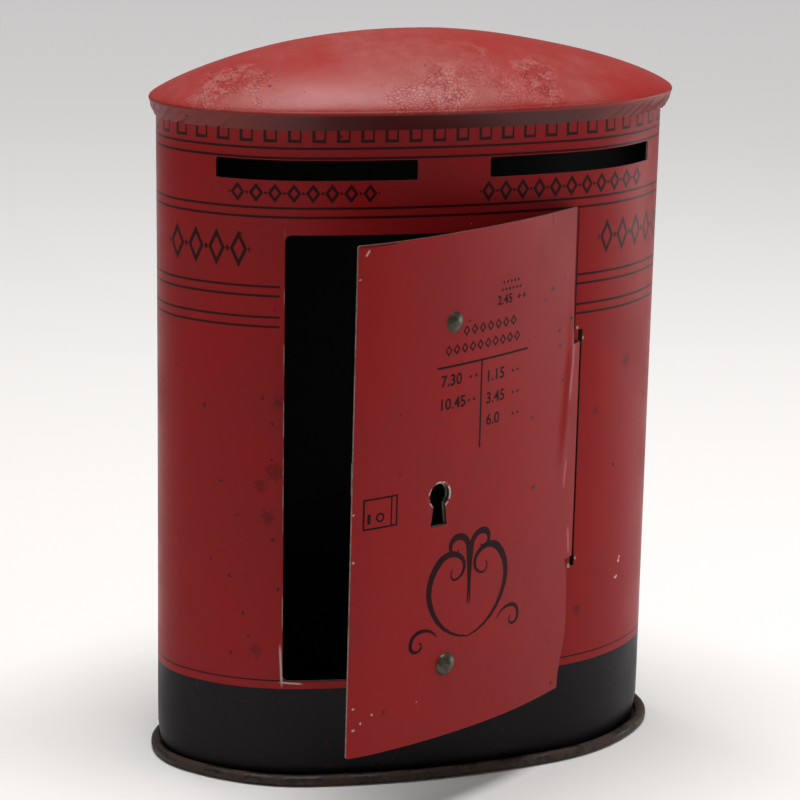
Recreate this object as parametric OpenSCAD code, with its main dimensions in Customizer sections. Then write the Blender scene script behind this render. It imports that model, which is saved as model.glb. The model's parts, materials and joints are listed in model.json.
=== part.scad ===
// Oval tinplate money box in the shape of a post box: a one-piece oval wall with two coin slots, a domed lid
// crimped over the wall's flared top, a base pan curled round the wall's foot, and a curved door with a lock.
// Origin: centre of the oval on the standing plane. The front faces -Y, the door's hinge is on the +X side.

/* [Body] */
// Width of the oval body, side to side
body_w = 110; // [104:1:116]
// Depth of the oval body, front to back
body_d = 53.4; // [51:0.2:56]
// Height of the whole box, from the standing plane to the lid's crown
body_h = 159.2; // [154:0.2:170]
// Thickness of the tinplate
sheet = 0.35; // [0.3:0.01:0.4]
// Radius of the two end arcs of the oval
end_r = 16; // [15:0.5:17.5]
// Width of the folded side seam inside the back
seam_w = 4; // [3:0.5:6]

/* [Lid] */
// How far the lid's edge stands out from the wall
lid_over = 2.2; // [2:0.1:3]
// Height of the skirt from the lid's edge down to the wall
skirt_h = 3.5; // [3.2:0.1:4.2]
// Outside radius of the lid's rolled edge
edge_r = 0.7; // [0.6:0.05:0.9]
// Height of the crown above the lid's edge
dome_rise = 13.2; // [9:0.1:18]

/* [Base] */
// How far the curled rim stands out from the wall
rim_over = 2.8; // [2.6:0.1:3.4]
// Diameter of the curled rim
rim_d = 2.4; // [2.2:0.1:2.6]
// Height of the floor's underside above the standing plane
floor_z = 2.6; // [2:0.1:5]

/* [Coin slots] */
// Height of a slot
slot_h = 4.2; // [3.8:0.1:6]
// Distance from the middle of the pair of slots to the near end of a slot
slot_near = 7.8; // [5:0.2:12]
// Distance from the middle of the pair of slots to the far end of a slot
slot_far = 47.4; // [44:0.1:48]
// Distance of the middle of the pair from the middle of the front, to the right
slot_shift = 1.2; // [0:0.1:1.6]
// Distance from the lid's edge down to the slots' upper edge
slot_drop = 10; // [8:0.2:13]
// Radius of a slot's corners
slot_r = 0.8; // [0.4:0.1:1.6]

/* [Door opening] */
// Distance of the opening's left edge from the middle of the front
opening_left = 33.4; // [32:0.2:35]
// Height of the opening's lower edge
opening_z = 23.4; // [20:0.2:27]
// Distance from the slots' lower edge down to the opening's upper edge
opening_drop = 11.2; // [9.8:0.2:14]
// Radius of the opening's corners
opening_r = 2; // [1:0.1:4]

/* [Door] */
// How far the door laps over the opening's left edge
lap_side = 1; // [0.8:0.1:2.4]
// How far the door laps over the opening's upper edge
lap_top = 4.2; // [2:0.1:4.6]
// How far the door laps over the opening's lower edge
lap_bottom = 6; // [4:0.1:8]
// Radius of the door's corners
door_r = 1.2; // [0.6:0.1:3]
// Angle by which the door stands open
door_open = 27.6; // [0:1:100]

/* [Hinge] */
// Distance of the hinge's axis from the middle of the front
hinge_x = 30; // [28.6:0.1:31]
// Height of the rolled tongue
tongue_h = 48; // [30:1:56]
// Distance from the hinge's axis to the door's edge above and below the tongue
edge_back = 2.9; // [1:0.1:4]
// How far that edge laps over the opening
edge_lap = 0.6; // [0.3:0.1:1]
// Width of the strip of wall that the tongue is rolled round
strip_w = 1.2; // [1:0.05:1.3]
// Running clearance of the tongue round the strip
hinge_play = 0.1; // [0.06:0.01:0.12]
// Width of the slit beside the strip
slit_w = 1; // [0.9:0.05:1.2]
// Length of the notch at each end of the slit
notch_h = 3; // [2:0.5:4]
// How much wider a notch is than the slit
notch_more = 0.6; // [0.2:0.1:1]

/* [Lock] */
// Distance of the rivets from the middle of the front, to the left
lock_x = 10.6; // [9:0.1:11]
// Distance of the lower rivet from the door's lower edge
rivet_low_in = 16; // [15:0.2:18]
// Distance of the upper rivet from the door's upper edge
rivet_high_in = 18.2; // [16.4:0.2:20]
// Diameter of a rivet's domed head
rivet_head_d = 5; // [4.4:0.1:6]
// Height of a rivet's domed head
rivet_head_h = 1.4; // [1:0.1:1.8]
// Diameter of a rivet's shank
rivet_d = 2.6; // [2:0.1:3]
// Width of the long strap that holds the lock
strap_w = 10; // [8:0.5:11]
// Thickness of the strap and of the lock's case
lock_sheet = 0.6; // [0.5:0.05:0.7]
// Width of the lock's case
case_w = 26; // [25:0.5:27]
// Height of the lock's case
case_h = 24; // [23.6:0.2:26]
// Depth of the lock's case, from the back plate to its rear wall
case_d = 7.2; // [7:0.1:8]
// Height of the key's axis above the door's middle
key_up = -0.4; // [-1.5:0.1:1.5]
// Distance of the key's axis from the rivets' line, to the left
key_dx = 2.8; // [1.5:0.1:3]
// Diameter of the keyhole's round head
key_d = 5.2; // [4.6:0.1:5.6]
// Length of the keyhole's foot, down from the key's axis
key_drop = 6.6; // [6:0.1:7]
// Height of the bolt
bolt_h = 7; // [6.6:0.1:7.2]
// Thickness of the bolt
bolt_t = 1.2; // [1:0.1:1.3]
// Travel of the bolt
bolt_throw = 5; // [4.5:0.1:5.4]

/* [Hidden] */
$fn = 96;
eps = 0.01;                 // overlap that joins touching shapes
through = 2;                // how far a cutter reaches past what it cuts
gap = 0.08;                 // clearance between tinplate layers that seat on each other
paint_red = [0.60, 0.13, 0.13];
lid_red = [0.68, 0.19, 0.17];
band_black = [0.12, 0.11, 0.13];
bare_tin = [0.50, 0.48, 0.44];
lock_steel = [0.42, 0.42, 0.40];
rivet_grey = [0.36, 0.35, 0.30];

// ---- The oval: eight arcs, tangent to each other, each given as [centre, radius, first angle, span] ----
end_turn = 40;              // half the angle of an end arc
front_turn = 10.6;          // half the angle of the front and back arcs
join = 90 - front_turn;     // where a shoulder arc meets the front or back arc
lean = (1 - sin(join)) / cos(join);
half_w = body_w / 2;
half_d = body_d / 2;
edge_z = body_h - dome_rise;                             // height of the lid's edge
slot_z = edge_z - slot_drop - slot_h;                    // height of the slots' lower edge
opening_h = slot_z - opening_drop - opening_z;
shoulder_r = end_r + (half_d - end_r - lean * (half_w - end_r)) / (1 - sin(end_turn) - lean * cos(end_turn));
end_c = half_w - end_r;
shoulder_c = [end_c, 0] - (shoulder_r - end_r) * [cos(end_turn), sin(end_turn)];
front_r = shoulder_r + shoulder_c.x / cos(join);
front_c = shoulder_c.y - (front_r - shoulder_r) * sin(join);
shoulder_turn = join - end_turn;
ARCS = [
    [[end_c, 0], end_r, -end_turn, 2 * end_turn],
    [[shoulder_c.x, shoulder_c.y], shoulder_r, end_turn, shoulder_turn],
    [[0, front_c], front_r, join, 2 * front_turn],
    [[-shoulder_c.x, shoulder_c.y], shoulder_r, 180 - join, shoulder_turn],
    [[-end_c, 0], end_r, 180 - end_turn, 2 * end_turn],
    [[-shoulder_c.x, -shoulder_c.y], shoulder_r, 180 + end_turn, shoulder_turn],
    [[0, -front_c], front_r, 180 + join, 2 * front_turn],
    [[shoulder_c.x, -shoulder_c.y], shoulder_r, 360 - join, shoulder_turn],
];
BACK = 90;                  // direction in which the middle of the back faces
FRONT = 270;                // direction in which the middle of the front faces

function toward(a) = [cos(a), sin(a)];

// The arc that faces direction a, and the point of the wall's outer face there, moved outward by off
function arc_at(a) = [for (arc = ARCS) if (a >= arc[2] && a <= arc[2] + arc[3]) arc][0];
function wall_point(a, off = 0) = arc_at(a)[0] + (arc_at(a)[1] + off) * toward(a);

// The direction that the front faces at a distance x from its middle
function facing(x) = abs(x) <= front_r * sin(front_turn) ? FRONT + asin(x / front_r)
    : FRONT + sign(x) * (90 - acos((abs(x) - shoulder_c.x) / shoulder_r));

// Directions of the flat facets' edges, the same for every piece that follows the oval
function facets(arc) = arc[1] == end_r ? 14 : 10;
DIRS = [for (arc = ARCS) for (i = [0:facets(arc) - 1]) arc[2] + arc[3] * i / facets(arc)];

// Points round the oval at one height, moved outward by off and drawn in to a share of the full size
function ring(off, z, share = 1) = [for (a = DIRS) let (p = share * wall_point(a, off)) [p.x, p.y, z]];

// Outline in plan of a band that follows the wall from one direction to another
function band(from, to, off0, off1) =
    let (turns = concat([from], [for (a = DIRS) if (a > from + 0.01 && a < to - 0.01) a], [to]), last = len(turns) - 1)
    concat([for (a = turns) wall_point(a, off1)], [for (i = [last:-1:0]) wall_point(turns[i], off0)]);

// Two triangles for each facet between neighbouring rings of n points
function skin(k0, k1, n) = [
    for (i = [0:n - 1]) let (j = (i + 1) % n)
        each [[k0 * n + i, k0 * n + j, k1 * n + i], [k0 * n + j, k1 * n + j, k1 * n + i]]
];

// Sweeps a closed section, a clockwise list of [distance outward, height], all round the oval
module sweep_round(section) {
    n = len(DIRS);
    m = len(section);
    polyhedron(
        [for (p = section) each ring(p.x, p.y)],
        [for (k = [0:m - 1]) each skin(k, (k + 1) % m, n)]
    );
}

// Sweeps a profile drawn in [distance outward, height] along the front arc, where the lock is
module sweep_front(from, to) {
    translate([0, -front_c])
        rotate(from)
            rotate_extrude(angle = to - from)
                translate([front_r, 0])
                    children();
}

// Stands its children on the wall where it faces direction a: x runs along the wall, y inward, z up
module at_wall(a, off = 0) {
    p = wall_point(a, off);
    translate([p.x, p.y, 0]) rotate(a - FRONT) children();
}

// A rectangle with rounded corners, cut through along y, from x0 to x1 and z0 to z1
module rounded_cutter(x0, x1, z0, z1, r, y0, y1) {
    translate([0, y1, 0])
        rotate([90, 0, 0])
            linear_extrude(y1 - y0) {
                translate([x0 + r, z0]) square([x1 - x0 - 2 * r, z1 - z0]);
                translate([x0, z0 + r]) square([x1 - x0, z1 - z0 - 2 * r]);
                for (x = [x0 + r, x1 - r], z = [z0 + r, z1 - r])
                    translate([x, z]) circle(r, $fn = 32);
            }
}

// ---- Lid's edge: the sheet comes down the dome, turns round the edge and runs down the skirt ----
bend_o = lid_over - edge_r;                              // centre of the edge's bend, outward from the wall
skirt_in = sheet + gap;                                  // outer face of the skirt's foot, outward from the wall
skirt_span = norm([bend_o - skirt_in, skirt_h]);
skirt_lean = atan2(skirt_h, bend_o - skirt_in) - asin(edge_r / skirt_span);     // slope of the skirt from level
dome_lean = 50;                                          // direction that the dome's foot faces, above level
skirt_dir = [cos(skirt_lean), sin(skirt_lean)];          // up the skirt
skirt_out = [sin(skirt_lean), -cos(skirt_lean)];         // away from the skirt's outer face
skirt_top = [bend_o, edge_z] + edge_r * skirt_out;
skirt_run = (skirt_top.y - (edge_z - skirt_h)) / skirt_dir.y;
skirt_foot = skirt_top - skirt_run * skirt_dir;

// The wall's flared top lies against the skirt's inner face
flare_line = skirt_foot - (sheet + gap) * skirt_out;     // a point on the flare's outer face
flare_z = flare_line.y - flare_line.x * skirt_dir.y / skirt_dir.x;
flare_len = skirt_run - edge_r;
flare_tip = [0, flare_z] + flare_len * skirt_dir;
flare_in_z = flare_z + sheet * (1 - cos(90 - skirt_lean)) / sin(90 - skirt_lean);

// ---- Base: the pan's sheet runs under the wall's flange and curls up round it ----
rim_r = rim_d / 2;
rim_o = rim_over - rim_r;                                // centre of the curl, outward from the wall
foot_z = sheet + gap;                                    // underside of the wall's turned-out foot
foot_o = rim_o + 0.2;                                    // reach of the foot into the curl
sink_o = -(sheet + gap);                                 // outer face of the pan's upstand, inside the wall

// ---- Hinge ----
hinge_a = facing(hinge_x);
hinge_p = wall_point(hinge_a, -sheet / 2);
strip_r = sqrt(pow(strip_w / 2, 2) + pow(sheet / 2, 2)); // circle through the strip's corners
curl_in = strip_r + hinge_play;
curl_out = curl_in + sheet;
bite = 0.03;                                             // how far the curl stands proud of the door's sheet
tongue_z = opening_z + (opening_h + lap_top - lap_bottom - tongue_h) / 2;
slit_x = strip_w / 2;
curl_last = 197;                                         // direction from the axis to the curl's free end
tongue_room = 0.5;                                       // how far the opening reaches past the tongue's ends

// ---- Door ----
door_in = curl_in - bite - sheet / 2;                    // inner face of the closed door, outward from the wall
door_out = door_in + sheet;
door_z0 = opening_z - lap_bottom;
door_z1 = opening_z + opening_h + lap_top;
door_first = facing(-(opening_left + lap_side));
door_last = hinge_a + 0.1 / shoulder_r * 180 / PI;       // the tongue's sheet runs this far into the curl

// ---- Lock, in the frame of the rivets' line: x along the wall, y inward from the door's inner face ----
lock_a = facing(-lock_x);
plate_t = 0.5;                                           // thickness of the back plate
key_less = 0.6;                                          // how much smaller the back plate's keyhole is
rivet_low_z = door_z0 + rivet_low_in;
rivet_high_z = door_z1 - rivet_high_in;
key_z = (door_z0 + door_z1) / 2 + key_up;
case_up = 1.9;                                           // the case's middle stands this much above the key's axis
case_z0 = key_z + case_up - case_h / 2;
case_z1 = case_z0 + case_h;
case_turn = case_w / 2 / front_r * 180 / PI;
bolt_y = 4.5;                                            // front face of the bolt
bolt_up = 1.6;                                           // height of the bolt's lower edge above the key's axis
bolt_z = key_z + bolt_up;
bolt_back = 1.9;                                         // distance of the drawn bolt's tip from the opening's edge
bolt_tip = opening_left - lock_x - bolt_back;
bolt_short = 3.4;                                        // distance of the bolt's tail from the case's far wall
bolt_tail = case_w / 2 - lock_sheet - bolt_short;
stud_r = 1.1;                                            // stud on the bolt, which runs in the case's slot
stud_room = 0.5;                                         // distance of the thrown stud from the case's wall
stud_x = -(case_w / 2 - lock_sheet - stud_r - bolt_throw - stud_room);
bit_room = 7;                                            // width of the notch in which the key's bit turns
bit_reach = 3.4;                                         // depth of that notch
leaf_t = 0.4;                                            // thickness of the leaf spring
leaf_w = 2;                                              // width of the leaf spring
leaf_span = 18;                                          // chord of the leaf spring
tip_d = 3;                                               // hole in which the key's tip turns
strap_tail = 6;                                          // length of the strap beyond a rivet
strap_land = 7;                                          // length of the strap on the door, inward of a rivet
strap_lead = 3;                                          // distance of the strap's bends from the case
clinch_d = [3.4, 4.4];                                   // diameters of a rivet's spread inner end
clinch_h = 0.9;                                          // height of a rivet's spread inner end

module body_wall() {
    color(paint_red)
        difference() {
            union() {
                sweep_round(WALL_SECTION);
                back_seam();
            }
            for (side = [-1, 1]) coin_slot(side);
            door_opening();
            hinge_slit();
        }
}

// Section of the wall: flared top, upright wall, turned-out foot
WALL_SECTION = [
    [-sheet, foot_z], [-sheet, flare_in_z], flare_tip - sheet * skirt_out, flare_tip,
    [0, flare_z], [0, foot_z + sheet], [foot_o, foot_z + sheet], [foot_o, foot_z]
];

// Folded side seam: two more layers inside the back
module back_seam() {
    turn = seam_w / 2 / front_r * 180 / PI;
    translate([0, 0, floor_z + 2 * sheet])
        linear_extrude(flare_z - floor_z - 3 * sheet)
            polygon(band(BACK - turn, BACK + turn, -3 * sheet, -sheet / 2));
}

module coin_slot(side) {
    near = slot_shift + (side > 0 ? slot_near : -slot_far);
    far = near + slot_far - slot_near;
    rounded_cutter(near, far, slot_z, slot_z + slot_h, slot_r, -half_d - through, -half_d / 4);
}

// The opening, and the wider part of it beside the tongue
module door_opening() {
    side = cos(hinge_a - FRONT);
    narrow = hinge_x - (edge_back + edge_lap) * side;
    rounded_cutter(-opening_left, narrow, opening_z, opening_z + opening_h, opening_r,
        -half_d - through, -half_d / 2);
    rounded_cutter(narrow - 2 * tongue_room, hinge_x - slit_x * side, tongue_z - tongue_room,
        tongue_z + tongue_h + tongue_room, tongue_room, -half_d - through, -half_d / 2);
}

// Slit through which the door's tongue passes, with a notch at each end
module hinge_slit() {
    at_wall(hinge_a)
        translate([slit_x, -through / 2, tongue_z - notch_h])
            cube([slit_w, through, tongue_h + 2 * notch_h]);
    at_wall(hinge_a)
        for (z = [tongue_z - notch_h, tongue_z + tongue_h])
            translate([slit_x, -through / 2, z])
                cube([slit_w + notch_more, through, notch_h]);
}

// ---- Lid: from the crown out to the edge, round it, down the skirt and back inside ----
dome_rings = 9;
dome_flat = 1.9;                                         // fullness of the crown
dome_fall = 0.83;                                        // fullness of the dome's shoulder
dome_foot = [bend_o, edge_z] + edge_r * toward(dome_lean);
dome_foot_in = [bend_o, edge_z] + (edge_r - sheet) * toward(dome_lean);
crown = edge_z + dome_rise - dome_foot.y;
bend_turns = [dome_lean, 20, -10, skirt_lean - 90];
function dome_height(t) = crown * pow(1 - pow(t, dome_flat), dome_fall);
shares = [for (i = [1:dome_rings - 1]) sin(90 * i / dome_rings)];
skirt_foot_in = skirt_foot - sheet * skirt_out;

module lid() {
    n = len(DIRS);
    rings = concat(
        [for (t = shares) ring(dome_foot.x, dome_foot.y + dome_height(t), t)],
        [for (a = bend_turns) ring(bend_o + edge_r * cos(a), edge_z + edge_r * sin(a))],
        [ring(skirt_foot.x, skirt_foot.y), ring(skirt_foot_in.x, skirt_foot_in.y)],
        [for (i = [len(bend_turns) - 1:-1:0]) let (a = bend_turns[i], r = edge_r - sheet)
            ring(bend_o + r * cos(a), edge_z + r * sin(a))],
        [for (i = [len(shares) - 1:-1:0]) let (t = shares[i])
            ring(dome_foot_in.x, dome_foot_in.y + dome_height(t), t)]
    );
    last = len(rings) - 1;
    outer_top = len(rings) * n;
    inner_top = outer_top + 1;
    color(lid_red)
        polyhedron(
            concat([for (r = rings) each r], [[0, 0, dome_foot.y + crown], [0, 0, dome_foot_in.y + crown]]),
            concat(
                [for (k = [0:last - 1]) each skin(k, k + 1, n)],
                [for (i = [0:n - 1]) [outer_top, (i + 1) % n, i]],
                [for (i = [0:n - 1]) [inner_top, last * n + i, last * n + (i + 1) % n]]
            )
        );
}

module base_pan() {
    color(bare_tin) {
        sweep_round(PAN_SECTION);
        translate([0, 0, floor_z])
            linear_extrude(sheet)
                polygon([for (p = ring(sink_o - sheet / 2, 0)) [p.x, p.y]]);
    }
}

// Section of the pan's edge: upstand, standing strip, and the curl round the wall's foot
curl_turns = [for (i = [0:8]) -90 + 255 * i / 8];
PAN_SECTION = concat(
    [[sink_o - sheet, floor_z + sheet], [sink_o, floor_z + sheet], [sink_o, sheet]],
    [for (a = curl_turns) [rim_o, rim_r] + (rim_r - sheet) * toward(a)],
    [for (i = [8:-1:0]) [rim_o, rim_r] + rim_r * toward(curl_turns[i])],
    [[sink_o - sheet, 0]]
);

// Turns its children about the hinge to where the door stands
module door_pose() {
    translate([hinge_p.x, hinge_p.y, 0])
        rotate(door_open)
            translate([-hinge_p.x, -hinge_p.y, 0])
                children();
}

module at_lock() {
    door_pose() at_wall(lock_a, door_in) children();
}

module door_panel() {
    color(paint_red)
        difference() {
            door_pose() {
                door_sheet();
                hinge_tongue();
            }
            at_lock() keyhole(key_d, -through / 2, through / 2);
            for (z = [rivet_low_z, rivet_high_z]) at_lock() rivet_hole(z);
        }
}

// The curved sheet, with rounded corners on its free edge and, beside the hinge, only the tongue's length
module door_sheet() {
    difference() {
        intersection() {
            translate([0, 0, door_z0])
                linear_extrude(door_z1 - door_z0)
                    polygon(band(door_first, door_last, door_in, door_out));
            rounded_cutter(-(opening_left + lap_side), hinge_x + half_d, door_z0, door_z1, door_r,
                -half_d - 2 * through, -half_d / 2);
        }
        for (span = [[door_z0 - through, tongue_z], [tongue_z + tongue_h, door_z1 + through]])
            at_wall(hinge_a)
                translate([-edge_back, -2 * through, span[0]])
                    cube([2 * edge_back, 3 * through, span[1] - span[0]]);
    }
}

// The tongue's curl: from the front over the slit to the back of the strip and round to the opening
module hinge_tongue() {
    far = 2 * curl_out;
    at_wall(hinge_a, -sheet / 2)
        translate([0, 0, tongue_z])
            linear_extrude(tongue_h)
                difference() {
                    circle(curl_out);
                    circle(curl_in);
                    polygon([[0, 0], [0, -far], [-far, -far], far * toward(curl_last)]);
                }
}

// Keyhole cut from y0 to y1: a round head above a foot that widens downward
module keyhole(d, y0, y1) {
    neck = 0.25 * d;
    foot = 0.42 * d;
    translate([-key_dx, y1, key_z])
        rotate([90, 0, 0])
            linear_extrude(y1 - y0) {
                circle(d / 2);
                polygon([[-neck, 0], [-foot, -key_drop], [foot, -key_drop], [neck, 0]]);
            }
}

module rivet_hole(z) {
    translate([0, -through, z])
        rotate([-90, 0, 0])
            cylinder(d = rivet_d + gap, h = 2 * through);
}

// Hole on the key's axis through the case and the strap
module tip_hole() {
    translate([-key_dx, case_d - through, key_z])
        rotate([-90, 0, 0])
            cylinder(d = tip_d, h = 2 * through);
}

module lock_back_plate() {
    color(lock_steel)
        difference() {
            door_pose()
                sweep_front(lock_a - case_turn, lock_a + case_turn)
                    translate([door_in - gap - plate_t, case_z0]) square([plate_t, case_h]);
            at_lock() keyhole(key_d - key_less, -through / 2, through);
        }
}

// The case is a shallow tray, open toward the back plate
module lock_case() {
    color(lock_steel)
        difference() {
            door_pose() case_block(0, gap + plate_t + gap, case_d + lock_sheet);
            door_pose() case_block(lock_sheet, 0, case_d);
            at_lock() case_cuts();
        }
}

// A block that follows the door's curve, shrunk by inset on its four sides, from depth y0 to y1
module case_block(inset, y0, y1) {
    turn = case_turn - inset / front_r * 180 / PI;
    sweep_front(lock_a - turn, lock_a + turn)
        translate([door_in - y1, case_z0 + inset]) square([y1 - y0, case_h - 2 * inset]);
}

// Openings of the case: the bolt's slot, the stud's slot and the pivot hole for the key's tip
module case_cuts() {
    translate([-case_w, bolt_y - gap, bolt_z - gap])
        cube([case_w, bolt_t + 2 * gap, bolt_h + 2 * gap]);
    stud_z = bolt_z + bolt_h / 2;
    rounded_cutter(stud_x - bolt_throw - stud_r - gap, stud_x + stud_r + gap,
        stud_z - stud_r - gap, stud_z + stud_r + gap, stud_r, case_d - through, case_d + through);
    tip_hole();
}

module lock_bolt() {
    color(lock_steel)
        at_lock() {
            difference() {
                translate([-bolt_tip, bolt_y, bolt_z])
                    cube([bolt_tip + bolt_tail, bolt_t, bolt_h]);
                translate([-key_dx - bit_room / 2 + bolt_throw / 2, bolt_y - through, bolt_z - through])
                    cube([bit_room, bolt_t + 2 * through, bit_reach + through]);
            }
            translate([stud_x, bolt_y + bolt_t - eps, bolt_z + bolt_h / 2])
                rotate([-90, 0, 0])
                    cylinder(r = stud_r - gap, h = case_d + lock_sheet - bolt_y - bolt_t - gap);
        }
}

// Bowed leaf between the case's upper wall and the bolt's upper edge
module bolt_spring() {
    low = bolt_z + bolt_h + gap / 2;
    high = case_z1 - lock_sheet - gap / 2;
    rise = high - low - leaf_t;
    bow_r = (pow(leaf_span / 2, 2) + pow(rise, 2)) / (2 * rise) + leaf_t;
    half_turn = asin(leaf_span / 2 / bow_r);
    color(lock_steel)
        at_lock()
            translate([0, bolt_y - leaf_w / 4, low + bow_r])
                rotate([-90, 0, 0])
                    rotate(90 - half_turn)
                        rotate_extrude(angle = 2 * half_turn)
                            translate([bow_r - leaf_t, 0]) square([leaf_t, leaf_w]);
}

// The strap's centre line in [depth, height]: on the door at the rivets, over the case between them
module lock_strap() {
    strap_turn = strap_w / 2 / front_r * 180 / PI;
    over = case_d + lock_sheet + gap;
    color(lock_steel)
        difference() {
            door_pose()
                sweep_front(lock_a - strap_turn, lock_a + strap_turn)
                    strap_section([
                        [gap, rivet_low_z - strap_tail], [gap, rivet_low_z + strap_land],
                        [over, case_z0 - strap_lead], [over, case_z1 + strap_lead],
                        [gap, rivet_high_z - strap_land], [gap, rivet_high_z + strap_tail]
                    ]);
            for (z = [rivet_low_z, rivet_high_z]) at_lock() rivet_hole(z);
            at_lock() tip_hole();
        }
}

// A strip as thick as the strap along a path of [depth, height] points, measured from the door's inner face
module strap_section(path) {
    last = len(path) - 1;
    function along(i) = (path[i + 1] - path[i]) / norm(path[i + 1] - path[i]);
    function side(d) = [d.y, -d.x];
    function shift(i) = i == 0 ? side(along(0)) : i == last ? side(along(last - 1))
        : let (s = side(along(i - 1)) + side(along(i))) 2 * s / (s * s);
    back = [for (i = [last:-1:0]) path[i] + lock_sheet * shift(i)];
    polygon([for (p = concat(path, back)) [door_in - p.x, p.y]]);
}

module rivet(z) {
    head_r = (pow(rivet_head_d / 2, 2) + pow(rivet_head_h, 2)) / (2 * rivet_head_h);
    grip = sheet + gap + lock_sheet + gap;
    color(rivet_grey)
        at_lock()
            translate([0, -sheet - gap / 2, z])
                rotate([90, 0, 0]) {
                    intersection() {
                        translate([0, 0, rivet_head_h - head_r]) sphere(head_r, $fn = 64);
                        cylinder(d = rivet_head_d, h = rivet_head_h);
                    }
                    translate([0, 0, -grip - eps]) cylinder(d = rivet_d, h = grip + 2 * eps);
                    translate([0, 0, -grip - clinch_h])
                        cylinder(d1 = clinch_d[0], d2 = clinch_d[1], h = clinch_h);
                }
}

module rivet_upper() {
    rivet(rivet_high_z);
}

module rivet_lower() {
    rivet(rivet_low_z);
}

body_wall();
lid();
base_pan();
door_panel();
lock_back_plate();
lock_case();
lock_bolt();
bolt_spring();
lock_strap();
rivet_upper();
rivet_lower();
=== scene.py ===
# %% [markdown]
# # An oval tin money box in the shape of a street post box
# The box is pressed and rolled from printed tinplate: a wall, a domed lid crimped over it, a base pan curled
# round its foot, and a curved door that turns on a tongue rolled round a strip of the wall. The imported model
# gives every size and place. The thin sheets are built again here, because a sheet of tin is judged by its
# smooth curves and its cut edges, and flat facets spoil both.

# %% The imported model, as a fixed frame
import json
import math

import bmesh
import bpy
from mathutils import Matrix, Vector

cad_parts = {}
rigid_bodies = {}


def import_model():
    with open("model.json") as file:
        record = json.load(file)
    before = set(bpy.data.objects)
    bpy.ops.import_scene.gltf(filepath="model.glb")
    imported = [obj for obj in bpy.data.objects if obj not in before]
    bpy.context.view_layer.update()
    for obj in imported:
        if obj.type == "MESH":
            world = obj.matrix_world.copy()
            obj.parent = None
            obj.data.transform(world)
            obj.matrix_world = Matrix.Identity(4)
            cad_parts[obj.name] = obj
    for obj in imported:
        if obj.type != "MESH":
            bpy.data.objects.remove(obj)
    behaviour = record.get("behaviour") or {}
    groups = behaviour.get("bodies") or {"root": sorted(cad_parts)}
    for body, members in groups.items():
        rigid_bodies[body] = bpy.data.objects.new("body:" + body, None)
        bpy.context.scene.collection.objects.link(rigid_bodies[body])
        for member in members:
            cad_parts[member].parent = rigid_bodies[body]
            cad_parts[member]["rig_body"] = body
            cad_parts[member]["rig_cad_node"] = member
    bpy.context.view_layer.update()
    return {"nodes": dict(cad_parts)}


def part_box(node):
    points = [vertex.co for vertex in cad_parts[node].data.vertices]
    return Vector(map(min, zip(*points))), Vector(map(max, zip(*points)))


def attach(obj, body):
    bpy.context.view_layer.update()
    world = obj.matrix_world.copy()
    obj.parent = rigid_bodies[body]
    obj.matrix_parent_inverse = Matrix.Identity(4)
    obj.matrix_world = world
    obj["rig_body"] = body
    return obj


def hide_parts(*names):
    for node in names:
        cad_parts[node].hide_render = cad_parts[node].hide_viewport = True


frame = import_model()

# %% [markdown]
# The camera comes first, because every later choice is judged through it. It stands to the left of the box
# and looks down a little, from about half a metre, with a long lens.

# %% Camera
MM = 0.001
SENSOR = 36.0
CAMERA_PLACE = Vector((-155.52, -520.45, 230.14)) * MM
CAMERA_TURN = math.radians(16.47)
CAMERA_DROP = math.radians(15.70)
CAMERA_ROLL = math.radians(1.10)
LENS = 115.52

camera_data = bpy.data.cameras.new("camera")
camera_data.lens = LENS
camera_data.sensor_width = SENSOR
camera_data.clip_start = 0.01
camera = bpy.data.objects.new("camera", camera_data)
bpy.context.scene.collection.objects.link(camera)
bpy.context.scene.camera = camera
camera.matrix_world = (
    Matrix.Translation(CAMERA_PLACE)
    @ Matrix.Rotation(-CAMERA_TURN, 4, "Z")
    @ Matrix.Rotation(math.pi / 2 - CAMERA_DROP, 4, "X")
    @ Matrix.Rotation(CAMERA_ROLL, 4, "Z")
)
print("camera at", [round(c, 3) for c in camera.location])

# %% [markdown]
# In plan the wall is an oval of eight arcs that meet without a corner: tight ends, rounder shoulders, and a
# nearly flat front and back. Every sheet of the box follows this oval, so its arcs are worked out once. An
# angle names the direction in which the wall faces: 270 degrees is the middle of the front.

# %% The oval
BODY_W = 110.0
BODY_D = 53.4
END_R = 16.0
END_TURN = 40.0
FRONT_TURN = 10.6
FRONT = 270.0


def cosine(angle):
    return math.cos(math.radians(angle))


def sine(angle):
    return math.sin(math.radians(angle))


def unit(angle):
    return Vector((cosine(angle), sine(angle), 0))


join = 90 - FRONT_TURN
lean = (1 - sine(join)) / cosine(join)
end_c = BODY_W / 2 - END_R
shoulder_r = END_R + (BODY_D / 2 - END_R - lean * end_c) / (1 - sine(END_TURN) - lean * cosine(END_TURN))
shoulder_c = Vector((end_c, 0, 0)) - (shoulder_r - END_R) * unit(END_TURN)
front_r = shoulder_r + shoulder_c.x / cosine(join)
front_c = shoulder_c.y - (front_r - shoulder_r) * sine(join)


def arc(x, y, radius, first, span, steps):
    return {"centre": Vector((x, y, 0)), "radius": radius, "first": first, "span": span, "steps": steps}


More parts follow.
